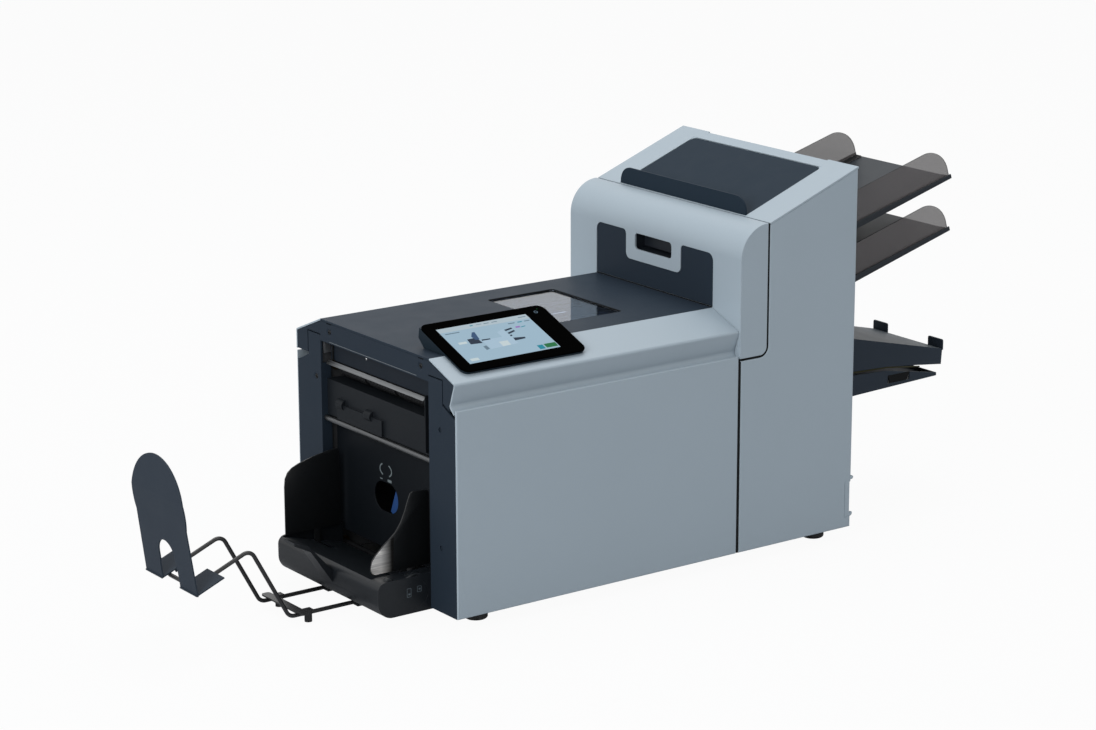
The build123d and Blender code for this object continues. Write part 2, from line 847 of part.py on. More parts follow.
def ledge_cover():
    rounds = [(1, nose_round), (2, channel_round), (5, channel_round - edge_wall),
              (6, nose_round - edge_wall)]
    face = sheet_outline(ledge_line(), edge_wall, rounds)
    x = (0, upper_end)
    past_lid = block((x[0] - overrun, x[1] + overrun), (-lid_front, -lid_front + overrun),
                     (0, lid_height + overrun))
    return along_x(face, x) - past_lid


def rear_slope_cover():
    rounds = [(1, nose_round), (4, nose_round - edge_wall)]
    face = sheet_outline(rear_line(), edge_wall, rounds)
    x = (0, upper_end)
    past_lid = block((x[0] - overrun, x[1] + overrun), (lid_rear - overrun, lid_rear),
                     (0, lid_height + overrun))
    return along_x(face, x) - past_lid


def top_end_plate():
    front = offset_line(ledge_line(), edge_wall + slide_gap)
    rear = offset_line(rear_line(), edge_wall + slide_gap)
    top = lid_height - lid_wall - slide_gap
    tab = tab_top + tab_gap
    points = [(front[0][0], top), front[1], front[2], (-ear_slope_reach, ear_slope_bottom),
              (-tab_outer - tab_gap, ear_bottom), (-tab_outer - tab_gap, tab), (-bay_half, tab),
              (-bay_half, bar_bottom), (bay_half, bar_bottom), (bay_half, tab),
              (tab_outer + tab_gap, tab),
              (tab_outer + tab_gap, ear_bottom), (rear[0][0], ear_bottom), rear[1], (rear[2][0], top)]
    return along_x(outline(points, [(1, nose_round - edge_wall)]), (0, end_wall))


def top_inner_frame():
    x = (rail_start, deck_length - rail_end_gap)
    top = lid_height - lid_wall
    y = (rail_inner, rail_inner + rail_wall)
    rail = block(x, y, (rail_bottom, top))
    pin = rod_y(pivot_radius, pivot_x, (rail_inner, pivot_reach), pivot_z)
    plate = block((guide_start, x[1]), (-rail_inner, rail_inner),
                  (guide_height, guide_height + guide_wall))
    return plate + mirrored(rail + pin)


def hood_side(inset):
    """Side view of the hood, drawn inside its outer line by the inset."""
    x = deck_length + inset
    top = hood_height - inset
    radius = hood_reach - inset
    past = overrun if inset else 0
    low = hood_bottom - past
    right = hood_end + past
    points = [(x, low), (x, top), (right, top), (right, low)]
    rounds = [(1, radius)] if inset else [(1, radius - hair_gap), (3, hood_corner)]
    return outline(points, rounds)


def inlay_outline(gap):
    """Band across the face with the pale frame round the grip taken out of it."""
    front, rear = -inlay_front + gap, inlay_rear - gap
    low, high = inlay_bottom + gap, inlay_top - gap
    side, middle = inlay_gap_half + gap, inlay_gap_bottom - gap
    past = high + overrun
    band = outline([(front, low), (rear, low), (rear, high), (front, high)],
                   [(2, inlay_round), (3, inlay_round)])
    centre = [(-side, middle), (side, middle), (side, past), (-side, past)]
    return band - outline(centre, [(0, inlay_gap_round), (1, inlay_gap_round)])


def hood():
    shell = along_y(hood_side(0), (-half, half)) - along_y(hood_side(skin), (-half + skin, half - skin))
    x = (deck_length - overrun, deck_length + skin + overrun)
    shell -= along_x(inlay_outline(0), x)
    grip = [(-grip_half, grip_bottom), (grip_half, grip_bottom), (grip_half, grip_top),
            (-grip_half, grip_top)]
    return shell - along_x(outline(grip, [(i, grip_round) for i in range(4)]), x)


def hood_inlay():
    x = deck_length + inlay_step
    return along_x(inlay_outline(slide_gap), (x, x + inlay_wall))


def cup_box(inset):
    side = grip_half + cup_margin - inset
    back = cup_depth - inset
    start = deck_length + skin - (overrun if inset else 0)
    return block((start, deck_length + skin + back), (-side, side),
                 (grip_bottom - cup_margin + inset, grip_top + cup_margin - inset))


def paddle_place():
    return (deck_length + skin + cup_depth * paddle_set_share,
            grip_top + cup_margin - cup_wall - paddle_pin - paddle_gap)


def grip_cup():
    x, z = paddle_place()
    reach = grip_half + cup_margin + overrun
    return cup_box(0) - cup_box(cup_wall) - rod_y(paddle_pin + shaft_gap, x, (-reach, reach), z)


def release_paddle():
    x, z = paddle_place()
    side = grip_half + cup_margin - cup_wall - slide_gap
    low = grip_bottom - cup_margin + cup_wall + paddle_gap
    plate = block((x - paddle_wall / 2, x + paddle_wall / 2), (-side, side), (low, z))
    pin_reach = grip_half + cup_margin
    return plate + rod_y(paddle_pin, x, (-pin_reach, pin_reach), z)


def screen_points(inset, drop):
    """Front and rear edge of the screen as (y, z), inset along it and dropped below its face."""
    along = (cos(ledge_angle), sin(ledge_angle))
    square = (-sin(ledge_angle), cos(ledge_angle))
    foot_z = lid_height - (screen_front - lid_front) * tan(ledge_angle)
    lift = screen_lift - drop
    middle = (-screen_front + lift * square[0], foot_z + lift * square[1])
    return [(middle[0] + reach * along[0], middle[1] + reach * along[1])
            for reach in (inset, screen_width - inset)]


def tablet_glass():
    front, rear = screen_points(0, 0)
    middle = ((front[0] + rear[0]) / 2, (front[1] + rear[1]) / 2)
    plate = Pos(0, 0, -glass_wall / 2) * Box(screen_length, screen_width, glass_wall)
    plate = fillet(plate.edges().filter_by(Axis.Z), glass_round)
    x = screen_start + screen_length / 2
    return Pos(x, middle[0], middle[1]) * Rot(degrees(ledge_angle), 0, 0) * plate


def tablet_housing():
    front, rear = screen_points(shell_inset, glass_wall)
    foot = (-screen_front + shell_inset, lid_height - (screen_front - shell_inset - lid_front) * tan(ledge_angle))
    back = (rear[0] + shell_overhang * sin(ledge_angle), rear[1] - shell_back)
    rest = (back[0] - shell_chamfer, lid_height)
    points = [front, foot, (-lid_front, lid_height), rest, back, rear]
    x = (screen_start + shell_inset, screen_start + screen_length - shell_inset)
    body = along_x(outline(points), x)
    upright = body.edges().filter_by(lambda e: abs(e.tangent_at(0).X) < sin(radians(1)))
    front_edges = upright.sort_by(Axis.Y)[:2]
    return fillet(front_edges, glass_round - shell_inset) if front_edges else body


# Sheet trays

def on_tray(shape, level):
    """Place a shape drawn along the level onto a sloping tray."""
    return (Pos(tower_end, 0, tray_face_z(tower_end, level)) * Rot(0, -tray_slope, 0) * shape)


def tray_length():
    return tray_run / cos(radians(tray_slope))


def tray(level):
    x = (-tray_in, tray_length())
    floor = block(x, (-tray_half, tray_half), (-tray_floor, 0))
    points = [(slot_margin, -tray_floor), (x[1], -tray_floor), (x[1], tray_edge_end_rise),
              (slot_margin, tray_edge_rise)]
    edge = along_y(outline(points), (tray_half - tray_edge, tray_half))
    return on_tray(floor + mirrored(edge), level)


def tray_guide(level):
    """Near side guide; the far one is its mirror image."""
    y = -(tray_half - tray_edge - slide_gap)
    lean = tan(radians(tray_slope))
    start, end = guide_from / cos(radians(tray_slope)), tray_length() - tray_edge
    low = slide_gap
    top = tray_edge_rise + guide_rise
    points = [(start + low * lean, low), (end, low), (end, top), (start + top * lean, top)]
    wall = along_y(outline(points, [(2, guide_end_round)]), (y, y + guide_plate))
    foot_x = (start + (low + guide_plate) * lean, end)
    foot = block(foot_x, (y, y + guide_foot), (low, low + guide_plate))
    return on_tray(wall + foot, level)


# Insert tray

def insert_line(x):
    return insert_height - x * tan(radians(insert_slope))


def insert_tray():
    turn = radians(insert_slope)
    run = insert_run - insert_wall
    face = along_y(outline([(-insert_in, insert_line(-insert_in)), (run, insert_line(run)),
                            (run, insert_line(run) - insert_wall / cos(turn)),
                            (-insert_in, insert_line(-insert_in) - insert_wall / cos(turn))]),
                   (-insert_half, insert_half))
    mid = run * insert_mid_share
    skirt_points = [(slide_gap, insert_line(0)), (run, insert_line(run)),
                    (run - insert_wall, insert_line(run) - insert_skirt_end),
                    (mid, insert_line(mid) - insert_skirt_mid),
                    (slide_gap, insert_line(0) - insert_skirt)]
    skirt = along_y(outline(skirt_points), (insert_half - insert_wall, insert_half))
    tab_y = (insert_half - insert_tab_wide, insert_half)
    tab_z = (insert_line(run) - insert_wall / cos(turn), insert_line(run) + insert_tab)
    corner = [(tab_y[0], tab_z[0]), (tab_y[1], tab_z[0]), (tab_y[1], tab_z[1]), (tab_y[0], tab_z[1])]
    tab = along_x(outline(corner, [(2, insert_tab_round), (3, insert_tab_round)]),
                  (run, run + insert_wall))
    return Pos(tower_end, 0, 0) * (face + mirrored(skirt + tab))


def cover_side(inset):
    """Side view of the insert cover, from the tower end face."""
    mid = (cover_run * cover_mid_share, cover_top - cover_mid_drop)
    start = cover_start - (overrun if inset else 0)
    lift = overrun if inset else 0
    points = [(start + inset, cover_bottom + inset), (cover_run - inset, cover_tip - cover_wall),
              (cover_run - inset, cover_tip + cover_wall + lift), (mid[0], mid[1] + lift),
              (start + inset, cover_top + lift)]
    return points


def insert_cover():
    body = along_y(outline(cover_side(0)), (-insert_half, insert_half))
    inner = insert_half - cover_wall
    body -= along_y(outline(cover_side(cover_wall)), (-inner, inner))
    x, z = latch_corner()
    window_cut = block((x - slide_gap, x + latch_length + slide_gap),
                       (-insert_half - overrun, -insert_half + cover_wall + overrun),
                       (z - latch_height - slide_gap, z + lug_gap))
    body -= window_cut
    for end in (x - slide_gap, x + latch_length + slide_gap):
        body -= rod_x(latch_pin + shaft_gap, (end - cover_wall, end + cover_wall), latch_pin_place()[0],
                      latch_pin_place()[1])
    pin_y = insert_half + lug_gap + lug_wall
    body += rod_y(cover_pin, cover_pin_x, (-pin_y, pin_y), cover_bottom + cover_pin_rise)
    return Pos(tower_end, 0, 0) * body


def latch_corner():
    """Upper corner of the latch nearest the tower, from the tower end face."""
    slope = cover_mid_drop / (cover_run * cover_mid_share - cover_start)
    x = latch_start
    return x, cover_top - (x + latch_length) * slope - latch_drop - cover_mid_drop / 2


def latch_pin_place():
    return -insert_half + cover_wall / 2, latch_corner()[1] - latch_pin - slide_gap


def insert_latch():
    x, z = latch_corner()
    low = z - latch_height
    points = [(x, z), (x + latch_height / 2, low), (x + latch_length - latch_height / 2, low),
              (x + latch_length, z)]
    plate = along_y(outline(points), (-insert_half, -insert_half + latch_wall))
    y, pin_z = latch_pin_place()
    reach = cover_wall / 2
    plate += rod_x(latch_pin, (x - reach, x + latch_length + reach), y, pin_z)
    return Pos(tower_end, 0, 0) * plate


# Output end

def exit_profile():
    """Half section of the ribbed roller with its shaft, as (radius, y) points."""
    start, end = path_y - exit_half, path_y + exit_half
    length = (end - start - (exit_segments - 1) * segment_gap) / exit_segments
    ribs = int(length / rib_pitch)
    points = [(0, -shaft_reach), (shaft_radius, -shaft_reach), (shaft_radius, start)]
    for s in range(exit_segments):
        base = start + s * (length + segment_gap)
        points += [(exit_core, base)] if s == 0 else []
        for r in range(ribs):
            low = base + r * rib_pitch
            high = low + rib_pitch * rib_share
            points += [(exit_radius, low), (exit_radius, high), (exit_core, high)]
            points += [(exit_core, low + rib_pitch)] if r < ribs - 1 else []
        points += [(exit_core, base + length + segment_gap)] if s < exit_segments - 1 else []
    last = start + (exit_segments - 1) * (length + segment_gap) + length
    points += [(exit_core, last), (shaft_radius, last), (shaft_radius, shaft_reach), (0, shaft_reach)]
    return points


def exit_roller():
    return lathe_y(exit_profile(), exit_x, exit_z)


def exit_guide_bar():
    y = (-chute_front + part_gap, bay_half - slide_gap)
    bar = block((bar_x - bar_wide / 2, bar_x + bar_wide / 2), y,
                (bar_z - bar_tall / 2, bar_z + bar_tall / 2))
    return fillet(bar.edges().filter_by(Axis.Y), bar_wide / 4)


def exit_chute():
    reach = bay_half - slide_gap
    y = (-chute_front, reach)
    face = block((chute_x, chute_x + chute_wall), y, (chute_shelf, chute_top))
    top = block((chute_x, exit_x + exit_radius), y, (chute_top - chute_wall, chute_top))
    shelf = block((chute_x, wall_x + chute_wall), (-reach, reach),
                  (chute_shelf, chute_shelf + chute_wall))
    cheek_x = (chute_x, exit_x + exit_radius)
    cheek_top = exit_z + exit_radius
    front = block(cheek_x, (-chute_front, -chute_front + chute_wall), (chute_shelf, cheek_top))
    front -= rod_y(shaft_radius + part_gap, exit_x, (-chute_front - overrun, -chute_front + overrun),
                   exit_z)
    boss_y = (knob_boss_from, bay_half - knob_boss_inset)
    boss = block((chute_x - knob_boss_out, chute_x), boss_y, (chute_shelf, knob_z))
    chute = face + top + shelf + front + boss
    for place in knob_places:
        chute += rod_y(knob_radius, chute_x, (place - knob_length / 2, place + knob_length / 2), knob_z)
    return chute


def lever_slot():
    """Slot in the back wall that follows the swing of the lever head."""
    centre_z = lever_pivot_z + lever_reach
    corner = slot_half_wide
    low, high = centre_z - slot_tall / 2, centre_z + slot_tall / 2
    points = [(lever_y - corner, low), (lever_y + corner, low), (lever_y + corner, high),
              (lever_y - corner, high)]
    return outline(points, [(i, slot_tall / 2 - slide_gap) for i in range(4)])


def bay_back_wall():
    y = (-bay_half + slide_gap, bay_half - slide_gap)
    wall = block((wall_x, wall_x + chute_wall), y, (wall_bottom, chute_shelf - slide_gap))
    slotted = wall - along_x(lever_slot(), (wall_x - overrun, wall_x + overrun))
    pin_x = (wall_x + chute_wall, wall_x + chute_wall + slide_gap + lever_wall + slide_gap)
    return slotted + rod_x(lever_pin, pin_x, lever_y, lever_pivot_z)


def separation_lever():
    x0 = wall_x + chute_wall + slide_gap
    x = (x0, x0 + lever_wall)
    arm = block(x, (-lever_arm_wide / 2, lever_arm_wide / 2), (0, lever_reach))
    hub = rod_x(lever_arm_wide, x, 0, 0)
    head_z = (lever_reach - lever_head_tall / 2, lever_reach + lever_head_tall / 2)
    head = block((x0, x[1] + lever_wall), (-lever_head_wide / 2, lever_head_wide / 2), head_z)
    lever = arm + hub + head - rod_x(lever_pin + shaft_gap, (x0 - overrun, x[1] + overrun), 0, 0)
    return Pos(0, lever_y, lever_pivot_z) * Rot(lever_rest, 0, 0) * lever


# Envelope hopper

def well_line(x):
    """Height of the well floor."""
    share = (x + hopper_left) / (hopper_left + hopper_right)
    return hopper_top + (well_low - hopper_top) * share


def hopper_side():
    x0, x1 = -hopper_left, hopper_right
    points = [(x1, hopper_bottom), (x0, hopper_bottom), (x0, hopper_top), (x1, hopper_top)]
    return outline(points, [(1, hopper_belly), (2, hopper_round)])


def arm_shape():
    knee = (-hopper_left - (arm_reach - hopper_left) * arm_knee_share, arm_height - arm_wall)
    root_x = -hopper_left + hopper_wall
    points = [(root_x, hopper_top - hopper_round), (-hopper_left, hopper_top - hopper_round), knee,
              (-arm_reach, arm_height), (-arm_reach, arm_height - arm_wall / 2),
              (knee[0] + arm_wall / 3, knee[1] - arm_wall),
              (-hopper_left, hopper_top - hopper_round - 2 * arm_wall),
              (root_x, hopper_top - hopper_round - 2 * arm_wall)]
    return along_y(outline(points), (arm_y - arm_half, arm_y + arm_half))


def hopper_base():
    y = (-hopper_front, hopper_rear)
    body = along_y(hopper_side(), y)
    well_y = (-well_front, well_rear)
    start = -hopper_left - overrun
    well = [(start, well_line(start)), (hopper_right + overrun, well_line(hopper_right + overrun)),
            (hopper_right + overrun, hopper_top + overrun), (start, hopper_top + overrun)]
    body -= along_y(outline(well), well_y)
    low = hopper_bottom + hopper_wall
    hollow = [(-hopper_left + hopper_belly, low), (hopper_right - hopper_wall, low),
              (hopper_right - hopper_wall, well_line(hopper_right - hopper_wall) - hopper_wall),
              (-hopper_left + hopper_belly, well_line(-hopper_left + hopper_belly) - hopper_wall)]
    body -= along_y(outline(hollow), (-well_front, hopper_rear - hopper_wall))
    wheel_y = (-wheel_front - wheel_gap, -wheel_front + wheel_wide + wheel_gap)
    body -= rod_y(wheel_radius + wheel_gap, wheel_x, wheel_y, wheel_z)
    body -= rod_y(spindle_radius + shaft_gap, wheel_x, (-wheel_front, spindle_rear + slide_gap), wheel_z)
    arch_y = (-hopper_front - overrun, -wheel_front)
    body -= rod_y(arch_radius, wheel_x, arch_y, wheel_z)
    slot_x = (wheel_x - neck_wide / 2 - slide_gap, wheel_x + neck_wide / 2 + slide_gap)
    for rest, sign in ((-guide_rest_front, 1), (guide_rest_rear, -1)):
        ends = sorted((rest - sign * slide_gap, rest + sign * (guide_travel + env_wall + slide_gap)))
        body -= block(slot_x, ends, (wheel_z, hopper_top))
    body += arm_shape()
    for place in clip_places:
        for side in (-1, 1):
            reach = wire_radius + clip_wall
            clip = block((place, place + clip_long), (side * wire_half - reach, side * wire_half + reach),
                         (wire_z - reach, hopper_bottom + hopper_wall))
            body += clip
    for side in (-1, 1):
        body -= rod_x(wire_radius + slide_gap, (-hopper_left - overrun, hopper_right + overrun),
                      side * wire_half, wire_z)
    base_low = foot_height + hair_gap
    grip_z = (base_low - slide_gap, base_low + base_wall + slide_gap)
    return body - block((base_inset - slide_gap, hopper_right + overrun),
                        (y[0] - overrun, y[1] + overrun), grip_z)


def env_guide(share, height, y):
    points = [(u * env_left, env_bottom + v * height) for u, v in share]
    return along_y(outline(points), y)


def guide_nut(y_side, nut_y):
    """Neck and nut that hang from a guide down to the spindle."""
    neck = block((wheel_x - neck_wide / 2, wheel_x + neck_wide / 2), y_side,
                 (wheel_z, env_bottom + overrun))
    nut = rod_y(nut_half, wheel_x, nut_y, wheel_z)
    return neck + nut - rod_y(spindle_radius + shaft_gap, wheel_x,
                              (nut_y[0] - overrun, nut_y[1] + overrun), wheel_z)


def hopper_guide_front():
    y = (-guide_rest_front, -guide_rest_front + env_wall)
    return env_guide(env_front_share, env_front_height, y) + guide_nut(y, (y[0], y[0] + nut_wide))


def hopper_guide_rear():
    y = (guide_rest_rear - env_wall, guide_rest_rear)
    return env_guide(env_rear_share, env_rear_height, y) + guide_nut(y, (y[1] - nut_wide, y[1]))


def hopper_spindle():
    wheel_y = (-wheel_front, -wheel_front + wheel_wide)
    wheel = rod_y(wheel_radius, wheel_x, wheel_y, wheel_z)
    for i in range(wheel_notches):
        turn = 2 * pi * i / wheel_notches
        x, z = wheel_x + wheel_radius * cos(turn), wheel_z + wheel_radius * sin(turn)
        wheel -= rod_y(wheel_notch, x, (wheel_y[0] - overrun, wheel_y[1] + overrun), z)
    return wheel + rod_y(spindle_radius, wheel_x, (-wheel_front, spindle_rear), wheel_z)


# Stacker

def wire_points(side):
    y = side * wire_half
    foot_rise = (wire_peak_z - wire_z)
    end_z = wire_peak_z + (wire_end_x - wire_peak_x) * stack_tan
    return [(wire_inner, y, wire_z), (wire_foot_x, y, wire_z), (wire_peak_x, y, wire_z + foot_rise),
            (wire_end_x, y, end_z)]


def stacker_wire():
    points = wire_points(-1) + wire_points(1)[::-1]
    path = FilletPolyline(*points, radius=wire_bend)
    start = Plane(origin=points[0], z_dir=(-1, 0, 0))
    return sweep(start * Circle(wire_radius), path=path)


def stacker_foot_bar():
    x = (foot_bar_x - foot_bar_wide / 2, foot_bar_x + foot_bar_wide / 2)
    z = (wire_z + wire_radius, wire_z + wire_radius + foot_bar_wall)
    corner = [(x[0], -foot_bar_half), (x[1], -foot_bar_half), (x[1], foot_bar_half),
              (x[0], foot_bar_half)]
    strip = along_z(outline(corner, [(i, foot_bar_round) for i in range(4)]), z)
    for side in (-1, 1):
        y = side * wire_half
        shelf = block((x[0], stub_x + stub_radius), (y - stub_radius, y + stub_radius), z)
        stub = rod_z(stub_radius, stub_x, y, (0, z[1]))
        strip += shelf + stub
        strip -= rod_x(wire_radius, (x[0] - overrun, stub_x + stub_radius + overrun), y, wire_z)
    return strip


def stop_side():
    """Half outline of the stop plate, as (y, z)."""
    neck = stop_top - stop_head_radius
    points = [(-stop_half, stop_bottom), (-stop_neck_half, neck), (stop_neck_half, neck),
              (stop_half, stop_bottom),
              (stop_cut_half, stop_bottom), (stop_cut_half, stop_cut_top - stop_cut_half),
              (-stop_cut_half, stop_cut_top - stop_cut_half), (-stop_cut_half, stop_bottom)]
    return make_face(Polyline(*points, close=True))


def stop_plate():
    neck = stop_top - stop_head_radius
    face = stop_side() + Pos(0, neck) * Circle(stop_head_radius)
    face -= Pos(0, stop_cut_top - stop_cut_half) * Circle(stop_cut_half)
    blank = along_x(face, (stop_x - stop_top, stop_x + stop_top))
    lean = (stop_fold - stop_bottom) * tan(radians(stop_lean))
    line = [(stop_x, stop_bottom), (stop_x - lean, stop_fold), (stop_x - lean, stop_top + overrun)]
    bent = along_y(sheet_outline(line, stop_wall), (-stop_top, stop_top))
    plate = blank & bent
    turn = Rot(0, -stack_slope, 0)
    gap = wire_radius + slide_gap
    foot = block((-stop_wall, stop_foot), (stop_cut_half, stop_half), (gap, gap + stop_wall))
    saddle_y = (wire_half - gap - saddle_wall, wire_half + gap + saddle_wall)
    saddle = block((stop_foot - saddle_long, stop_foot), saddle_y, (-gap - saddle_wall, gap + stop_wall))
    saddle -= rod_x(gap, (stop_foot - saddle_long - overrun, stop_foot + overrun), wire_half, 0)
    saddle -= block((stop_foot - saddle_long - overrun, stop_foot + overrun),
                    (wire_half - wire_radius, wire_half + wire_radius), (-gap - saddle_wall - overrun, 0))
    seat = Pos(stop_x, 0, wire_peak_z + (stop_x - wire_peak_x) * stack_tan) * turn
    over_wire = block((-stop_foot, stop_foot), (-wire_half - gap, wire_half + gap), (-stop_foot, gap))
    return plate - seat * over_wire + seat * mirrored(foot + saddle)


# Drive

def gear(x, z, y, phase):
    """Straight-sided spur gear; phase turns it by a share of one tooth."""
    pitch_radius = gear_module * gear_teeth / 2
    outer, root = pitch_radius + gear_module, pitch_radius - gear_module - gear_slack
    step = 2 * pi / gear_teeth
    slack = gear_slack / pitch_radius
    points = []
    for i in range(gear_teeth):
        middle = (i + phase) * step
        for radius, spread in ((root, step / 4 + step / 12), (outer, step / 4 - step / 12)):
            points.append((radius, middle - spread + slack))
        for radius, spread in ((outer, step / 4 - step / 12), (root, step / 4 + step / 12)):
            points.append((radius, middle + spread - slack))
    face = outline([(x + r * cos(a), z + r * sin(a)) for r, a in points])
    return along_y(face, y)


def fold_roller(number):
    x, z = fold_places()[number]
    gear_y = (frame_outer + bush_flange_wall, frame_outer + bush_flange_wall + gear_wide)
    roller = rod_y(fold_radius, x, (-roller_half, roller_half), z)
    far = gear_y[1] if number else pulley_y + pulley_wide
    roller += rod_y(shaft_radius, x, (-shaft_reach, far), z)
    roller += gear(x, z, gear_y, fold_phase(number))
    if number == 0:
        roller += rod_y(pulley_big, x, (pulley_y, pulley_y + pulley_wide), z)
    return roller


def fold_phase(number):
    """Turn each gear so that its teeth stand in the gaps of the one before it."""
    step = 360 / gear_teeth
    if number == 0:
        return 0
    second = (180 / step + 1 / 2) % 1
    if number == 1:
        return second
    seen = fold_turn / step - second
    return ((180 + fold_turn) / step - 1 / 2 + seen) % 1


def motor_pulley():
    y = (pulley_y, pulley_y + pulley_wide)
    shaft_y = (rail_inner, y[1])
    return rod_y(pulley_small, motor_x, y, motor_z) + rod_y(motor_shaft, motor_x, shaft_y, motor_z)


def belt_loop(grow):
    """Closed loop round both pulleys, grown outwards."""
    big, small = pulley_big + grow, pulley_small + grow
    rise = fold_z - motor_z
    spread = (big - small) / rise
    side = sqrt(1 - spread * spread)
    points = [(motor_x + small * side, motor_z - small * spread),
              (fold_x + big * side, fold_z - big * spread),
              (fold_x - big * side, fold_z - big * spread),
              (motor_x - small * side, motor_z - small * spread)]
    face = make_face(Polyline(*points, close=True))
    return face + Pos(fold_x, fold_z) * Circle(big) + Pos(motor_x, motor_z) * Circle(small)


def drive_belt():
    y = (pulley_y + belt_inset, pulley_y + pulley_wide - belt_inset)
    cut_y = (y[0] - overrun, y[1] + overrun)
    return along_y(belt_loop(slide_gap + belt_wall), y) - along_y(belt_loop(slide_gap), cut_y)


def drive_motor():
    y = (rail_inner - motor_length, rail_inner - part_gap)
    can = rod_y(motor_radius, motor_x, y, motor_z)
    floor = foot_height + hair_gap + base_wall
    foot = block((motor_x - motor_radius, motor_x + motor_radius), (y[0] + motor_foot, y[1] - motor_foot),
                 (floor, motor_z - motor_radius / 2))
    return can + foot - rod_y(motor_shaft + shaft_gap, motor_x,
                              (rail_inner - motor_foot, rail_inner + overrun), motor_z)


def feed_roller(place, width):
    x, z = place
    return rod_y(feed_radius, x, (-width, width), z) + rod_y(shaft_radius, x,
                                                             (-shaft_reach, shaft_reach), z)


def envelope_feed_roller():
    x, z = hopper_feed_x, hopper_feed_z
    roller = rod_y(hopper_feed_radius, x, (-hopper_feed_half, hopper_feed_half), z)
    return roller + rod_y(shaft_radius, x, (-shaft_reach, shaft_reach), z)


def power_supply():
    floor = foot_height + hair_gap + base_wall
    x = (supply_start, supply_start + supply_length)
    return block(x, (supply_y - supply_width / 2, supply_y + supply_width / 2),
                 (floor, floor + supply_height))


def power_inlet():
    x = (inlet_x - inlet_wide / 2, inlet_x + inlet_wide / 2)
    z = (inlet_z - inlet_tall / 2, inlet_z + inlet_tall / 2)
    body = block(x, (half - inlet_deep, half), z)
    flange = block((x[0] - inlet_lip, x[1] + inlet_lip), (half, half + inlet_flange),
                   (z[0] - inlet_lip, z[1] + inlet_lip))
    socket_x = (x[0] + inlet_lip, inlet_x + inlet_wide / 2 - switch_wide - 2 * inlet_lip - slide_gap)
    inner_z = (z[0] + inlet_lip, z[1] - inlet_lip)
    body = body + flange - block(socket_x, (half - pin_long - inlet_lip, half + overrun), inner_z)
    middle = (socket_x[0] + socket_x[1]) / 2
    for i, drop in ((-1, 0), (0, pin_drop), (1, 0)):
        at = middle + i * pin_pitch
        body += block((at - pin_wide / 2, at + pin_wide / 2),
                      (half - pin_long - inlet_lip, half - pin_drop),
                      (inlet_z - pin_tall / 2 + drop - pin_drop / 2,
                       inlet_z + pin_tall / 2 + drop - pin_drop / 2))
    x0, z0 = switch_place()
    side = switch_wide / 2 + slide_gap
    tall = switch_tall / 2 + slide_gap
    body -= block((x0 - side, x0 + side), (half - switch_deep - inlet_lip, half + overrun),
                  (z0 - tall, z0 + tall))
    pin_reach = side + inlet_lip
    return body - rod_x(switch_pin + shaft_gap, (x0 - pin_reach, x0 + pin_reach),
                        half - switch_deep / 2, z0)


def switch_place():
    return inlet_x + inlet_wide / 2 - inlet_lip - switch_wide / 2 - slide_gap, inlet_z


def power_switch():
    """Rocker, whose middle lies on its pin."""
    x, z = switch_place()
    pin_y = half - switch_deep / 2
    rise = switch_tall / 2 * cos(radians(switch_tilt)) - slide_gap
    top = half + inlet_flange
    points = [(pin_y - switch_deep / 4, z - rise * sin(pi / 4)),
              (pin_y - switch_deep / 4, z + rise * sin(pi / 4)),
              (top - switch_deep / 6, z + rise), (top - switch_deep / 3, z),
              (top - switch_deep / 6, z - rise)]
    rocker = along_x(outline(points), (x - switch_wide / 2, x + switch_wide / 2))
    reach = switch_wide / 2 + slide_gap + inlet_lip / 2
    return rocker + rod_x(switch_pin, (x - reach, x + reach), pin_y, z)


PIECES = {
    "chassis": chassis, "feet": feet, "side_frames": side_frames, "tie_rods": tie_rods, "bearings": bearings,
    "front_panel": front_panel, "rear_panel": rear_panel,
    "tower_front_cover": tower_front_cover, "tower_rear_cover": tower_rear_cover,
    "tower_end_cover": tower_end_cover, "tower_top_cover": tower_top_cover, "flap_panel": flap_panel,
    "end_columns": end_columns, "frame_screws": frame_screws,
    "lid": lid, "window": window, "ledge_cover": ledge_cover, "rear_slope_cover": rear_slope_cover,
    "top_end_plate": top_end_plate, "top_screws": top_screws, "top_inner_frame": top_inner_frame,
    "hood": hood, "hood_inlay": hood_inlay, "grip_cup": grip_cup, "release_paddle": release_paddle,
    "tablet_housing": tablet_housing, "tablet_glass": tablet_glass,
    "insert_tray": insert_tray, "insert_cover": insert_cover, "insert_latch": insert_latch,
    "exit_roller": exit_roller, "exit_guide_bar": exit_guide_bar, "exit_chute": exit_chute,
    "bay_back_wall": bay_back_wall, "separation_lever": separation_lever,
    "hopper_base": hopper_base, "hopper_guide_front": hopper_guide_front, "hopper_guide_rear": hopper_guide_rear,
    "hopper_spindle": hopper_spindle,
    "stacker_wire": stacker_wire, "stacker_foot_bar": stacker_foot_bar, "stop_plate": stop_plate,
    "drive_motor": drive_motor, "motor_pulley": motor_pulley, "drive_belt": drive_belt,
    "envelope_feed_roller": envelope_feed_roller,
    "power_supply": power_supply, "power_inlet": power_inlet, "power_switch": power_switch,
}


def build_parts():
    parts = {name: make() for name, make in PIECES.items()}
    for level, word in ((0, "upper"), (1, "lower")):
        near = tray_guide(level)
        parts[f"{word}_guide_front"] = near
        parts[f"{word}_guide_rear"] = mirror(near, Plane.XZ)
        parts[f"{word}_feed_roller"] = feed_roller(feed_place(level), feed_half)
    parts["sheet_trays"] = [tray(0), tray(1)]
    parts["insert_feed_roller"] = feed_roller(insert_feed_place(), insert_feed_half)
    for number in range(3):
        parts[f"fold_roller_{number + 1}"] = fold_roller(number)
    return parts


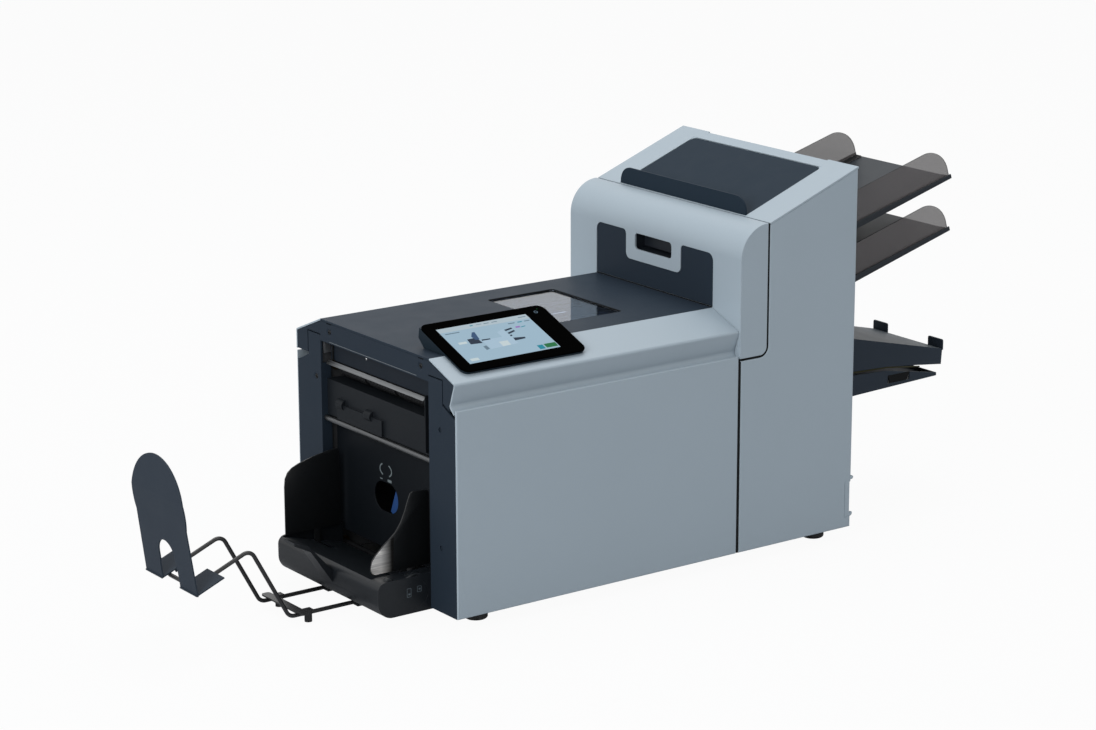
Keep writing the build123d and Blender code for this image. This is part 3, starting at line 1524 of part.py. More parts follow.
def move(shape):
    """Shift a piece, or a group of separate solids, to the part's own origin."""
    solids = shape if isinstance(shape, list) else [shape]
    moved = [solid for item in solids for solid in (Pos(-datum_x, 0, 0) * item).solids()]
    return moved[0] if len(moved) == 1 else Compound(children=moved)


os.makedirs("parts", exist_ok=True)
for name, shape in build_parts().items():
    export_step(move(shape), f"parts/{name}.step")
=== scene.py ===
from math import atan2, cos, pi, radians, sin, tan

import bmesh
import bpy
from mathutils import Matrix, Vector


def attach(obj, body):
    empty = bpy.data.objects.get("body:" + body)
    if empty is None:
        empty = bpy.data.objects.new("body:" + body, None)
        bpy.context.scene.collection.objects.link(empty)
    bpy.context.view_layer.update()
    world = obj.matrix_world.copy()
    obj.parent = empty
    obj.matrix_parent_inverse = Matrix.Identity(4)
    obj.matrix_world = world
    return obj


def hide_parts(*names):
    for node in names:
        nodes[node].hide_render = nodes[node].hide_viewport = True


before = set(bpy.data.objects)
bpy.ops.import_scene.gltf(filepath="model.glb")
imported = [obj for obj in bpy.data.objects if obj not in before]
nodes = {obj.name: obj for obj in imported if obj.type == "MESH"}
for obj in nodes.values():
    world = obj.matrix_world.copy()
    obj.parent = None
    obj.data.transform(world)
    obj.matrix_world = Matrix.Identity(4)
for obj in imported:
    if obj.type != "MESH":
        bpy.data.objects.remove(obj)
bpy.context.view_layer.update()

scene = bpy.context.scene

# Camera and studio. The camera stands at the left front, a little above the roof of the tower.
# A pale floor and an even white room light the machine, with three broad lamps: a strong one on
# the output side, one above it and a weak one at the front.
camera_data = bpy.data.cameras.new("camera")
camera_data.lens = 99.45
camera_data.sensor_width = 36.0
camera_data.clip_end = 60.0
camera = bpy.data.objects.new("camera", camera_data)
camera.location = (-2.56728, -3.52294, 1.44909)
camera.rotation_euler = (radians(75.1249), radians(0.1295), radians(-35.7944))
scene.collection.objects.link(camera)
scene.camera = camera
scene.view_settings.view_transform = "Standard"


def set_inputs(node, values):
    for key, value in values.items():
        node.inputs[key].default_value = value


def add_node(tree, kind, values=(), operation=None, group=None):
    """New node of a tree, with its operation or group and the values of its inputs."""
    node = tree.nodes.new(kind)
    if operation:
        node.operation = operation
    if group:
        node.node_tree = group
    set_inputs(node, dict(values))
    return node


def wire(tree, *pairs):
    """Link each output socket of the pairs to its input socket."""
    for source, target in pairs:
        tree.links.new(source, target)


def blank(name):
    """New material, its node tree and its surface node."""
    material = bpy.data.materials.new(name)
    material.use_nodes = True
    return material, material.node_tree, material.node_tree.nodes["Principled BSDF"]


def soft_lamp(name, place, aim, size, power):
    """Square lamp turned towards a point; lengths in metres, power in watts."""
    lamp = bpy.data.lights.new(name, "AREA")
    lamp.size = size
    lamp.energy = power
    holder = bpy.data.objects.new(name, lamp)
    holder.location = place
    holder.rotation_euler = (Vector(aim) - Vector(place)).to_track_quat("-Z", "Y").to_euler()
    scene.collection.objects.link(holder)


white = (1.0, 1.0, 1.0, 1.0)
room = bpy.data.worlds.new("white_room")
scene.world = room
room.use_nodes = True
tree = room.node_tree
tree.nodes.clear()
seen = add_node(tree, "ShaderNodeBackground", {"Color": white, "Strength": 1.0})
glow = add_node(tree, "ShaderNodeBackground", {"Color": (0.96, 0.98, 1.0, 1.0), "Strength": 0.46})
path = add_node(tree, "ShaderNodeLightPath")
first = add_node(tree, "ShaderNodeMath", operation="MAXIMUM")
either = add_node(tree, "ShaderNodeMath", operation="MAXIMUM")
pick = add_node(tree, "ShaderNodeMixShader")
shown = add_node(tree, "ShaderNodeOutputWorld")
wire(tree, (path.outputs["Is Camera Ray"], first.inputs[0]), (path.outputs["Is Transmission Ray"], first.inputs[1]),
     (first.outputs[0], either.inputs[0]), (path.outputs["Is Glossy Ray"], either.inputs[1]),
     (either.outputs[0], pick.inputs[0]), (glow.outputs[0], pick.inputs[1]), (seen.outputs[0], pick.inputs[2]),
     (pick.outputs[0], shown.inputs[0]))

soft_lamp("left_lamp", (-4.1, -1.3, 2.2), (0.0, 0.0, 0.3), 2.4, 128.0)
soft_lamp("top_lamp", (0.6, 0.9, 4.2), (0.1, 0.0, 0.4), 2.8, 86.0)
soft_lamp("front_lamp", (1.9, -4.2, 1.7), (0.2, 0.0, 0.3), 2.6, 26.0)

reach, floor_drop = 30.0, 0.0004
floor_mesh = bpy.data.meshes.new("floor")
floor_mesh.from_pydata([(-reach, -reach, 0), (reach, -reach, 0), (reach, reach, 0), (-reach, reach, 0)], [],
                       [(0, 1, 2, 3)])
floor = bpy.data.objects.new("floor", floor_mesh)
floor.location.z = -floor_drop
scene.collection.objects.link(floor)
pale_floor, tree, paint = blank("pale_floor")
set_inputs(paint, {"Base Color": (0.5, 0.51, 0.53, 1.0), "Roughness": 0.75, "Specular IOR Level": 0.15})
lift = add_node(tree, "ShaderNodeEmission", {"Color": white})
path = add_node(tree, "ShaderNodeLightPath")
share = add_node(tree, "ShaderNodeMath", {1: 0.95}, "MULTIPLY")
mix = add_node(tree, "ShaderNodeMixShader")
wire(tree, (path.outputs["Is Camera Ray"], share.inputs[0]), (share.outputs[0], mix.inputs[0]),
     (paint.outputs[0], mix.inputs[1]), (lift.outputs[0], mix.inputs[2]),
     (mix.outputs[0], tree.nodes["Material Output"].inputs[0]))
floor_mesh.materials.append(pale_floor)

# Outer covers of the lower casing and of the tower: moulded panels about 3 mm thick in a pale
# blue grey, fine grained and painted, with softly rounded edges. A low clip with two hooked ends
# is let into the lower end edge of the near tower cover.
casing_end = -0.33682


def at(x, y, z):
    """Point from millimetres counted from the output end, the middle plane and the ground."""
    return Vector((casing_end + x / 1000, y / 1000, z / 1000))


def side_on(y, pairs):
    """Outline in an upright plane along the machine, from (x, z) pairs."""
    return [at(x, y, z) for x, z in pairs]


def rect(a0, b0, a1, b1):
    """Pairs for the corners of a rectangle, from one corner round to the opposite one and back."""
    return [(a0, b0), (a1, b0), (a1, b1), (a0, b1)]


def keep(obj, body, material=None, replaced=()):
    """Give a piece its material, its body and the solids that it stands for."""
    if material:
        obj.data.materials.clear()
        obj.data.materials.append(material)
    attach(obj, body)
    if replaced:
        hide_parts(*replaced)
    return obj


def linked(name, mesh):
    obj = bpy.data.objects.new(name, mesh)
    scene.collection.objects.link(obj)
    return obj


def evaluated(obj):
    """Mesh of an object with its modifiers applied."""
    return bpy.data.meshes.new_from_object(obj.evaluated_get(bpy.context.evaluated_depsgraph_get()))


def crisp(mesh, sharp):
    """Shade a mesh smoothly, but not over edges sharper than an angle in degrees."""
    if mesh.attributes.get("custom_normal"):
        mesh.attributes.remove(mesh.attributes["custom_normal"])
    mesh.shade_smooth()
    mesh.set_sharp_from_angle(angle=radians(sharp))


def finished(name, mesh, bevel=0.0, steps=2, sharp=32.0):
    """Object whose sharp edges are rounded and whose flat faces are evenly shaded; bevel in millimetres."""
    crisp(mesh, sharp)
    obj = linked(name, mesh)
    if bevel:
        rounding = obj.modifiers.new("rounding", "BEVEL")
        rounding.width = bevel / 1000
        rounding.segments = steps
        rounding.limit_method = "ANGLE"
        rounding.angle_limit = radians(sharp)
        rounding.miter_outer = "MITER_ARC"
        even = obj.modifiers.new("even", "WEIGHTED_NORMAL")
        even.keep_sharp = True
        even.weight = 100
        done = evaluated(obj)
        obj.modifiers.clear()
        obj.data = done
        done.name = name
    return obj


def rounded_copy(node, name, bevel, steps=2, sharp=32.0, shift=(0, 0, 0), cutters=()):
    """Copy of a solid with its triangles joined, recesses cut and its edges rounded."""
    weld_distance, flat_angle = 2e-6, radians(0.5)
    mesh = nodes[node].data.copy()
    work = bmesh.new()
    work.from_mesh(mesh)
    bmesh.ops.remove_doubles(work, verts=work.verts, dist=weld_distance)
    bmesh.ops.dissolve_limit(work, angle_limit=flat_angle, verts=work.verts, edges=work.edges)
    bmesh.ops.translate(work, verts=work.verts, vec=Vector(shift) / 1000)
    work.to_mesh(mesh)
    work.free()
    if cutters:
        raw = linked(name + "_raw", mesh)
        for cutter in cutters:
            cut = raw.modifiers.new("recess", "BOOLEAN")
            cut.operation = "DIFFERENCE"
            cut.solver = "EXACT"
            cut.object = cutter
        mesh = evaluated(raw)
        for used in (raw, *cutters):
            bpy.data.objects.remove(used)
    return finished(name, mesh, bevel, steps, sharp)


def closed(name, work, bevel=0.0):
    """Object from a closed bmesh, with its faces turned outwards."""
    bmesh.ops.recalc_face_normals(work, faces=work.faces)
    mesh = bpy.data.meshes.new(name)
    work.to_mesh(mesh)
    work.free()
    return finished(name, mesh, bevel)


def prism(name, corners, push, bevel=0.0):
    """Solid between a flat outline of points and the same outline pushed along a vector."""
    work = bmesh.new()
    low = [work.verts.new(c) for c in corners]
    high = [work.verts.new(Vector(c) + Vector(push)) for c in corners]
    work.faces.new(low)
    work.faces.new(list(reversed(high)))
    for i in range(len(corners)):
        j = (i + 1) % len(corners)
        work.faces.new((low[j], low[i], high[i], high[j]))
    return closed(name, work, bevel)


def joined(name, parts):
    """One object from several, each with the first of its own materials."""
    work = bmesh.new()
    materials = []
    for part in parts:
        start = len(work.faces)
        work.from_mesh(part.data)
        work.faces.ensure_lookup_table()
        held = part.data.materials[0] if part.data.materials else None
        if held not in materials:
            materials.append(held)
        for face in work.faces[start:]:
            face.material_index = materials.index(held)
    mesh = bpy.data.meshes.new(name)
    work.to_mesh(mesh)
    work.free()
    for material in materials:
        if material:
            mesh.materials.append(material)
    for part in parts:
        bpy.data.objects.remove(part)
    crisp(mesh, 32.0)
    return linked(name, mesh)


def socket(group, name, kind, way, value=None):
    """New outer socket of a node group; way is INPUT or OUTPUT."""
    made = group.interface.new_socket(name=name, in_out=way, socket_type=kind)
    if value is not None:
        made.default_value = value


# Fine grain shared by every moulded or painted surface: tone drifts slowly, gloss more quickly.
grain = bpy.data.node_groups.new("fine_grain", "ShaderNodeTree")
socket(grain, "Colour", "NodeSocketColor", "INPUT", (0.5, 0.5, 0.5, 1.0))
socket(grain, "Drift", "NodeSocketFloat", "INPUT", 0.08)
socket(grain, "Grain size", "NodeSocketFloat", "INPUT", 900.0)
socket(grain, "Roughness", "NodeSocketFloat", "INPUT", 0.5)
socket(grain, "Handling", "NodeSocketFloat", "INPUT", 0.06)
socket(grain, "Colour", "NodeSocketColor", "OUTPUT")
socket(grain, "Roughness", "NodeSocketFloat", "OUTPUT")
socket(grain, "Height", "NodeSocketFloat", "OUTPUT")
given = add_node(grain, "NodeGroupInput")
result = add_node(grain, "NodeGroupOutput")
where = add_node(grain, "ShaderNodeTexCoord")
slow = add_node(grain, "ShaderNodeTexNoise", {"Scale": 5.0, "Detail": 3.0})
fine = add_node(grain, "ShaderNodeTexNoise", {"Detail": 2.0})
hands = add_node(grain, "ShaderNodeTexNoise", {"Scale": 26.0, "Detail": 4.0})
centred = add_node(grain, "ShaderNodeMath", {1: 0.5}, "SUBTRACT")
drifted = add_node(grain, "ShaderNodeMath", {2: 1.0}, "MULTIPLY_ADD")
speck = add_node(grain, "ShaderNodeMath", {1: 0.08}, "MULTIPLY_ADD")
level = add_node(grain, "ShaderNodeMath", {1: 0.04}, "SUBTRACT")
tinted = add_node(grain, "ShaderNodeVectorMath", operation="SCALE")
rubbed = add_node(grain, "ShaderNodeMath", {1: 0.5}, "SUBTRACT")
gloss = add_node(grain, "ShaderNodeMath", operation="MULTIPLY_ADD")
wire(grain, *((where.outputs["Object"], noise.inputs["Vector"]) for noise in (slow, fine, hands)),
     (given.outputs["Grain size"], fine.inputs["Scale"]),
     (slow.outputs["Fac"], centred.inputs[0]),
     (centred.outputs[0], drifted.inputs[0]), (given.outputs["Drift"], drifted.inputs[1]),
     (fine.outputs["Fac"], speck.inputs[0]), (drifted.outputs[0], speck.inputs[2]),
     (speck.outputs[0], level.inputs[0]),
     (given.outputs["Colour"], tinted.inputs[0]), (level.outputs[0], tinted.inputs["Scale"]),
     (tinted.outputs[0], result.inputs["Colour"]),
     (hands.outputs["Fac"], rubbed.inputs[0]),
     (rubbed.outputs[0], gloss.inputs[0]), (given.outputs["Handling"], gloss.inputs[1]),
     (given.outputs["Roughness"], gloss.inputs[2]),
     (gloss.outputs[0], result.inputs["Roughness"]),
     (fine.outputs["Fac"], result.inputs["Height"]))


def covered(tree, surface, group, values, depth, distance):
    """Lead the colour, roughness and relief of a group into a surface node; distance in metres."""
    cover = add_node(tree, "ShaderNodeGroup", values, group=group)
    relief = add_node(tree, "ShaderNodeBump", {"Strength": depth, "Distance": distance})
    wire(tree, (cover.outputs["Colour"], surface.inputs["Base Color"]),
         (cover.outputs["Roughness"], surface.inputs["Roughness"]),
         (cover.outputs["Height"], relief.inputs["Height"]),
         (relief.outputs["Normal"], surface.inputs["Normal"]))


def grained(name, colour, roughness, size=900.0, depth=0.12, drift=0.08, handling=0.12, sheen=0.5, metal=0.0,
            alpha=1.0):
    """Material with the fine grain; colour is linear, depth is the strength of its relief."""
    material, tree, surface = blank(name)
    covered(tree, surface, grain, {"Colour": (*colour, 1.0), "Drift": drift, "Grain size": size,
                                   "Roughness": roughness, "Handling": handling}, depth, 0.0004)
    set_inputs(surface, {"Specular IOR Level": sheen, "Metallic": metal, "Alpha": alpha})
    return material


cover_grey = grained("cover_grey", (0.325, 0.388, 0.438), 0.46, size=1100.0, depth=0.10, drift=0.05, sheen=0.35)
for node in ("front_panel", "tower_rear_cover"):
    keep(rounded_copy(node, node + "_shell", 0.5, 2, 40.0), "casing", cover_grey, [node])
clip_notch = rect(721.3, 44.0, 725.0, 92.0)
clip_groove = [(711.6, 38.0), (712.5, 38.4), (712.5, 93.4), (711.6, 93.0)]
clip_foot = [(712.5, 36.0), (721.3, 37.4), (721.3, 38.2), (712.5, 37.0)]
clip_cuts = [prism("cut", side_on(-210.5, loop), (0, deep, 0))
             for loop, deep in ((clip_notch, 0.0035), (clip_groove, 0.0012), (clip_foot, 0.0012))]
keep(rounded_copy("tower_front_cover", "tower_front_cover_shell", 0.5, 2, 40.0, cutters=clip_cuts), "casing",
     cover_grey, ["tower_front_cover"])
upper_hook = [(719.0, 90.0), (719.0, 95.5), (722.0, 99.0), (727.4, 100.6), (729.0, 98.6), (727.4, 95.6), (723.4, 95.0),
              (721.6, 92.6), (721.6, 90.0)]
lower_hook = [(719.0, 37.4), (721.8, 36.4), (726.0, 37.4), (728.2, 41.0), (727.0, 43.4), (724.6, 41.4), (721.4, 42.0),
              (719.0, 45.0)]
keep(joined("tower_edge_clip", [prism("end", side_on(-209.8, loop), (0, 0.0045, 0), 0.5)
                                for loop in (upper_hook, lower_hook)]), "casing", cover_grey)
for node, edge in (("tower_end_cover", 0.8), ("tower_top_cover", 0.35)):
    keep(rounded_copy(node, node + "_shell", edge, 2), "casing", cover_grey, [node])

# Black rubber strips in the joints: behind the hood, over the tower and beside the deck panels.
# They are pressed into the joints just below the faces, and stay on the casing.
def quarter(cx, cz, radius, start, end, steps=6):
    """Points of an arc in an upright plane, angles in degrees from the x direction."""
    return [(cx + radius * cos(radians(start + (end - start) * i / steps)),
             cz + radius * sin(radians(start + (end - start) * i / steps))) for i in range(steps + 1)]


seal_black = grained("seal_black", (0.006, 0.0065, 0.007), 0.7, size=900.0, depth=0.2, sheen=0.1)
strip_face, strip_depth = 207.1, 0.0025
hood_joint = ([(555.3, 515.0)] + quarter(540.0, 331.0, 15.3, 0, -90) + [(504.2, 315.7), (504.2, 318.3)]
              + quarter(540.0, 331.0, 12.7, -90, 0) + [(552.7, 515.0)])
panel_joint = rect(500.2, 21.0, 503.8, 314.4)
strips = [prism("strip", side_on(side * strip_face, outline), (0, side * strip_depth, 0))
          for side in (-1, 1) for outline in (hood_joint, panel_joint)]
strips.append(prism("strip", side_on(-206.9, rect(552.7, 511.0, 555.3, 514.6)), (0, 0.4138, 0)))
keep(joined("joint_strips", strips), "casing", seal_black)

# Inside of the casing: bent steel base tray, side frames, steel tie rods and sintered bronze bushes,
# the frames and bushes darkened with painted shade. They show only through the open joints and when the machine is
# open.
zinc_steel = grained("zinc_steel", (0.42, 0.43, 0.44), 0.38, size=240.0, depth=0.05, drift=0.35, handling=0.3,
                     metal=1.0)
# Painted shade: the side frames (zinc steel) and the bronze bushes get near black and dark tones because they sit in
# shadow.
painted_shade_steel = grained("painted_shade_steel", (0.045, 0.047, 0.050), 0.5, size=240.0, depth=0.05, drift=0.3, handling=0.3,
                      sheen=0.2)
rod_steel = grained("rod_steel", (0.13, 0.135, 0.14), 0.4, size=500.0, depth=0.05, drift=0.15, metal=1.0)
bright_steel = grained("bright_steel", (0.60, 0.60, 0.60), 0.26, size=500.0, depth=0.05, drift=0.15, metal=1.0)
bush_bronze = grained("bush_bronze", (0.10, 0.07, 0.035), 0.42, size=1500.0, depth=0.15, drift=0.2, metal=1.0)


def dress(node, material):
    """Give a solid that is shown as it is its only material."""
    held = nodes[node].data.materials
    held.clear()
    held.append(material)


dress("rear_panel", cover_grey)
dress("chassis", zinc_steel)
dress("side_frames", painted_shade_steel)
dress("tie_rods", rod_steel)
dress("bearings", bush_bronze)

# Four turned rubber feet under the base tray, black, with a bevelled tread.
foot_rubber = grained("foot_rubber", (0.018, 0.018, 0.019), 0.72, size=700.0, depth=0.3, drift=0.2)
keep(rounded_copy("feet", "rubber_feet", 0.6, 2), "casing", foot_rubber, ["feet"])

# End of the machine: two dark painted columns beside the envelope bay, and the end plate of the
# upper unit that reaches down between and outside their tabs. Dark screws sit in round dimples,
# those of the near column in plain holes.
def end_on(x, pairs):
    """Outline in an upright plane across the machine, from (y, z) pairs."""
    return [at(x, y, z) for y, z in pairs]


def turned(name, centre, axis, profile, sides):
    """Solid of revolution; profile holds (place along the axis, radius) pairs in millimetres."""
    axis = Vector(axis).normalized()
    side = axis.orthogonal().normalized()
    other = axis.cross(side)
    work = bmesh.new()
    rings = []
    for along, radius in profile:
        rings.append([work.verts.new(centre + axis * (along / 1000) + (side * cos(2 * pi * i / sides)
                      + other * sin(2 * pi * i / sides)) * (radius / 1000)) for i in range(sides)])
    for low, high in zip(rings, rings[1:]):
        for i in range(sides):
            j = (i + 1) % sides
            work.faces.new((low[i], low[j], high[j], high[i]))
    work.faces.new(list(reversed(rings[0])))
    work.faces.new(rings[-1])
    return closed(name, work)


def painted(obj, material):
    """Give a part its material before it is joined with others."""
    obj.data.materials.append(material)
    return obj


navy = grained("navy_plastic", (0.0165, 0.025, 0.037), 0.5, size=1100.0, depth=0.10, drift=0.10, sheen=0.09)
lid_navy = grained("lid_navy", (0.0165, 0.026, 0.039), 0.5, size=1100.0, depth=0.10, drift=0.08, sheen=0.10)
far_column_screws = [(156.5, 294.0), (156.5, 115.0)]
near_column_screws = [(-170.0, 287.5), (-170.0, 115.4)]
plate_screws = [(118.3, 367.5), (-122.0, 368.8)]
dish = [(-1.0, 7.4), (0.0, 6.6), (0.35, 5.6), (1.0, 4.3), (1.4, 4.2)]
hole = [(-1.0, 3.9), (1.6, 3.9)]
dish_sides = 28
column_cuts = [turned("cut", at(0, y, z), (1, 0, 0), shape, dish_sides)
               for spots, shape in ((far_column_screws, dish), (near_column_screws, hole)) for y, z in spots]
keep(rounded_copy("end_columns", "end_column_plates", 0.5, 2, cutters=column_cuts), "casing", navy,
     ["end_columns"])
plate_cuts = [turned("cut", at(0, y, z), (1, 0, 0), dish, dish_sides) for y, z in plate_screws]
plate_cuts += [prism("cut", end_on(-1, rect(low, 379.2, high, 382)), (0.0032, 0, 0))
               for low, high in ((111.5, 125.0), (-130.5, -117.0))]
keep(rounded_copy("top_end_plate", "end_plate_shell", 0.4, 2, cutters=plate_cuts), "top_unit", navy,
     ["top_end_plate"])
slot_backs = [prism("back", end_on(2.0, rect(low, 379.0, high, 380.9)), (0.0008, 0, 0))
              for low, high in ((111.0, 125.5), (-131.0, -116.5))]
keep(joined("lid_slots", slot_backs), "top_unit", seal_black)
inner_navy = grained("inner_navy", (0.008, 0.012, 0.018), 0.5, size=1100.0, depth=0.08, sheen=0.1)
keep(prism("inner_cross_plate", end_on(14.6, rect(-137.0, 321.5, 137.0, 353.0)), (0.0016, 0, 0), 0.3), "top_unit",
     inner_navy)
# The thin pale strip across the face of the end plate is a painted highlight, a line of light along its edge; a black
# strip sits inside the far tab.
painted_highlight_pale = grained("painted_highlight_pale", (0.16, 0.18, 0.19), 0.4, size=900.0, depth=0.05)
lip = [painted(prism("lip", end_on(-0.06, rect(-112.0, 352.9, 118.0, 353.5)), (0.0006, 0, 0)), painted_highlight_pale),
       painted(prism("lip", end_on(12.6, rect(128.0, 322.0, 131.5, 350.0)), (0.001, 0, 0), 0.2), seal_black)]
keep(joined("end_plate_lip", lip), "top_unit")


def screw_heads(name, places, body, material, replaced, head_radius=0.0037, key_radius=0.0016):
    """Button heads with a socket, one at each place, made by one node tree; radii in metres."""
    head_top, head_rise, sides = 0.0013, 0.0012, 24
    rings = [(key_radius, 0.2), (key_radius * 1.05, 1.0), (head_radius * 0.6, 0.97), (head_radius * 0.9, 0.6),
             (head_radius, 0.15), (head_radius, -0.9), (0.0004, -0.9)]
    mesh = bpy.data.meshes.new(name + "_one")
    points = [(head_top - share * head_rise, r * cos(2 * pi * i / sides), r * sin(2 * pi * i / sides))
              for r, share in rings for i in range(sides)]
    faces = [tuple(reversed(range(sides)))]
    for ring in range(len(rings) - 1):
        a, b = ring * sides, (ring + 1) * sides
        faces += [(a + i, b + i, b + (i + 1) % sides, a + (i + 1) % sides) for i in range(sides)]
    mesh.from_pydata(points, [], [tuple(reversed(f)) for f in faces])
    one = linked(name + "_one", mesh)
    marks = bpy.data.meshes.new(name)
    marks.from_pydata([tuple(p) for p in places], [], [])
    obj = linked(name, marks)
    group = bpy.data.node_groups.new(name + "_set", "GeometryNodeTree")
    socket(group, "Geometry", "NodeSocketGeometry", "INPUT")
    socket(group, "Screw", "NodeSocketObject", "INPUT")
    socket(group, "Geometry", "NodeSocketGeometry", "OUTPUT")
    start, end = add_node(group, "NodeGroupInput"), add_node(group, "NodeGroupOutput")
    read = add_node(group, "GeometryNodeObjectInfo")
    spread = add_node(group, "GeometryNodeInstanceOnPoints")
    real = add_node(group, "GeometryNodeRealizeInstances")
    paint = add_node(group, "GeometryNodeSetMaterial", {"Material": material})
    wire(group, (start.outputs["Screw"], read.inputs["Object"]),
         (start.outputs["Geometry"], spread.inputs["Points"]), (read.outputs["Geometry"], spread.inputs["Instance"]),
         (spread.outputs["Instances"], real.inputs["Geometry"]), (real.outputs["Geometry"], paint.inputs["Geometry"]),
         (paint.outputs["Geometry"], end.inputs["Geometry"]))
    setter = obj.modifiers.new("screws", "NODES")
    setter.node_group = group
    key = next(item.identifier for item in group.interface.items_tree if item.name == "Screw")
    setter[key] = one
    made = evaluated(obj)
    obj.modifiers.remove(setter)
    obj.data = made
    bpy.data.objects.remove(one)
    crisp(made, 40.0)
    keep(obj, body, None, replaced)


screw_black = grained("screw_black", (0.009, 0.010, 0.011), 0.42, size=900.0, depth=0.05, drift=0.1, metal=0.6)
screw_heads("column_screws", end_on(0, far_column_screws) + end_on(1.4, near_column_screws), "casing",
            screw_black, ["frame_screws"])
screw_heads("end_plate_screws", end_on(0, plate_screws), "top_unit", screw_black, ["top_screws"])
screw_heads("cross_plate_screw", [at(13.8, 41.0, 342.0)], "top_unit", bright_steel, [], 0.0022, 0.0009)

# Lid of the upper unit, a flat dark panel with a round-cornered window. The window is a clear
# sheet in a black seal; dark ribs of the transport and one pale mark, a painted reflection, show through it.
keep(rounded_copy("lid", "lid_panel", 0.8, 3), "top_unit", lid_navy, ["lid"])

window_glass, tree, surface = blank("window_glass")
cover = add_node(tree, "ShaderNodeGroup", {"Colour": (0.46, 0.55, 0.69, 1.0), "Roughness": 0.03, "Handling": 0.02,
                                           "Grain size": 60.0}, group=grain)
wire(tree, (cover.outputs["Colour"], surface.inputs["Base Color"]),
     (cover.outputs["Roughness"], surface.inputs["Roughness"]))
set_inputs(surface, {"Transmission Weight": 1.0, "IOR": 1.38, "Specular Tint": (0.50, 0.66, 0.90, 1.0)})
keep(rounded_copy("window", "window_sheet", 0.0, shift=(0, 0, -2.0)), "top_unit", window_glass,
     ["window"])


def level_on(z, pairs):
    """Outline in a level plane, from (x, y) pairs."""
    return [at(x, y, z) for x, y in pairs]


def rounded_loop(x0, y0, x1, y1, radius, inset=0.0):
    """Points of a rectangle with rounded corners, drawn anticlockwise."""
    steps = 6
    x0, y0, x1, y1 = x0 + inset, y0 + inset, x1 - inset, y1 - inset
    r = max(radius - inset, 0.4)
    loop = []
    for cx, cy, start in ((x1 - r, y0 + r, -90), (x1 - r, y1 - r, 0), (x0 + r, y1 - r, 90), (x0 + r, y0 + r, 180)):
        for i in range(steps + 1):
            a = radians(start + 90 * i / steps)
            loop.append((cx + r * cos(a), cy + r * sin(a)))
    return loop


def ring_strip(name, outer, inner, place):
    """Band between two loops with the same number of points, as thick as place makes it."""
    work = bmesh.new()
    rows = [[work.verts.new(place(u, v, w)) for u, v in loop] for loop, w in
            ((outer, 0.0), (inner, 0.0), (inner, 1.0), (outer, 1.0))]
    count = len(outer)
    for a, b in ((0, 1), (1, 2), (2, 3), (3, 0)):
        for i in range(count):
            j = (i + 1) % count
            work.faces.new((rows[a][i], rows[a][j], rows[b][j], rows[b][i]))
    return closed(name, work)


opening = (260.0, -84.0, 382.0, 92.0, 6.0)
seal_bottom, seal_height = 381.75, 1.95
keep(ring_strip("window_seal", rounded_loop(*opening, 0.1), rounded_loop(*opening, 1.3),
                lambda u, v, w: at(u, v, seal_bottom + seal_height * w)), "top_unit", seal_black)
guide_black = grained("guide_black", (0.010, 0.012, 0.018), 0.5, size=300.0, depth=0.1, sheen=0.2)
painted_reflection_pale = grained("painted_reflection_pale", (0.90, 0.92, 0.94), 0.4, size=300.0, depth=0.05)
plate_z, rib_z, reflection_z, rib_width = 371.0, 372.0, 375.4, 2.4
inner_plates = [painted(prism("plate", level_on(plate_z, rect(250.0, -100.0, 392.0, 104.0)), (0, 0, 0.0012), 0.3),
                        guide_black)]
for y in (-60.0, -38.0, 12.0, 34.0, 58.0):
    inner_plates.append(painted(prism("rib", level_on(rib_z, rect(256.0, y, 386.0, y + rib_width)), (0, 0, 0.0018),
                                      0.4), guide_black))
# The pale strip on the plate is a painted reflection, not a part of the transport.
inner_plates.append(painted(prism("mark", level_on(reflection_z, rect(288.0, -15.8, 329.0, -12.8)), (0, 0, 0.0004)),
                            painted_reflection_pale))
keep(joined("transport_plates", inner_plates), "top_unit")
dress("top_inner_frame", zinc_steel)

# Front ledge with its finger channel and the sloping rear edge: long pale mouldings that carry
# the edges of the lid, the same plastic as the outer covers.
keep(rounded_copy("ledge_cover", "front_ledge", 0.4, 2), "top_unit", cover_grey, ["ledge_cover"])
keep(rounded_copy("rear_slope_cover", "rear_edge_moulding", 0.4, 2), "top_unit", cover_grey,
     ["rear_slope_cover"])

# Hood at the front of the tower: a pale shell with a round shoulder, and a dark inlay round the
# grip with four small pips and two pale fills in its corners. The grip cup holds the release
# paddle, and a black strip lies where the lid meets the hood.
keep(prism("lid_edge_strip", end_on(501.72, rect(-143.9, 383.9, 141.4, 385.45)), (0.0005, 0, 0)), "top_unit",
     seal_black)
keep(rounded_copy("hood", "hood_shell", 0.7, 3), "top_unit", cover_grey, ["hood"])
keep(rounded_copy("hood_inlay", "dark_inlay", 0.4, 2), "top_unit", navy, ["hood_inlay"])
screw_heads("inlay_pips", [at(503.6, side * 128.5, z) for side in (-1, 1) for z in (397.0, 445.0)], "top_unit",
            navy, [], 0.0024, 0.0008)
fill_y, fill_z, fill_radius, fill_out = 73.3, 458.7, 6.0, 6.5
corners = []
for side in (-1, 1):
    arc = [(side * (fill_y - fill_radius * cos(radians(a))), fill_z + fill_radius * sin(radians(a)))
           for a in range(0, 91, 15)]
    loop = arc + [(side * fill_y, fill_z + fill_out), (side * (fill_y - fill_out), fill_z + fill_out),
                  (side * (fill_y - fill_out), fill_z)]
    corners.append(prism("corner", end_on(502.03, loop), (0.0012, 0, 0)))
keep(joined("inlay_corners", corners), "top_unit", cover_grey)
cup_black = grained("cup_black", (0.009, 0.012, 0.017), 0.42, size=900.0, depth=0.12, sheen=0.25)
keep(rounded_copy("grip_cup", "grip_pocket", 0.4, 2), "top_unit", cup_black, ["grip_cup"])
keep(rounded_copy("release_paddle", "grip_paddle", 0.5, 2), "release_paddle", cup_black,
     ["release_paddle"])

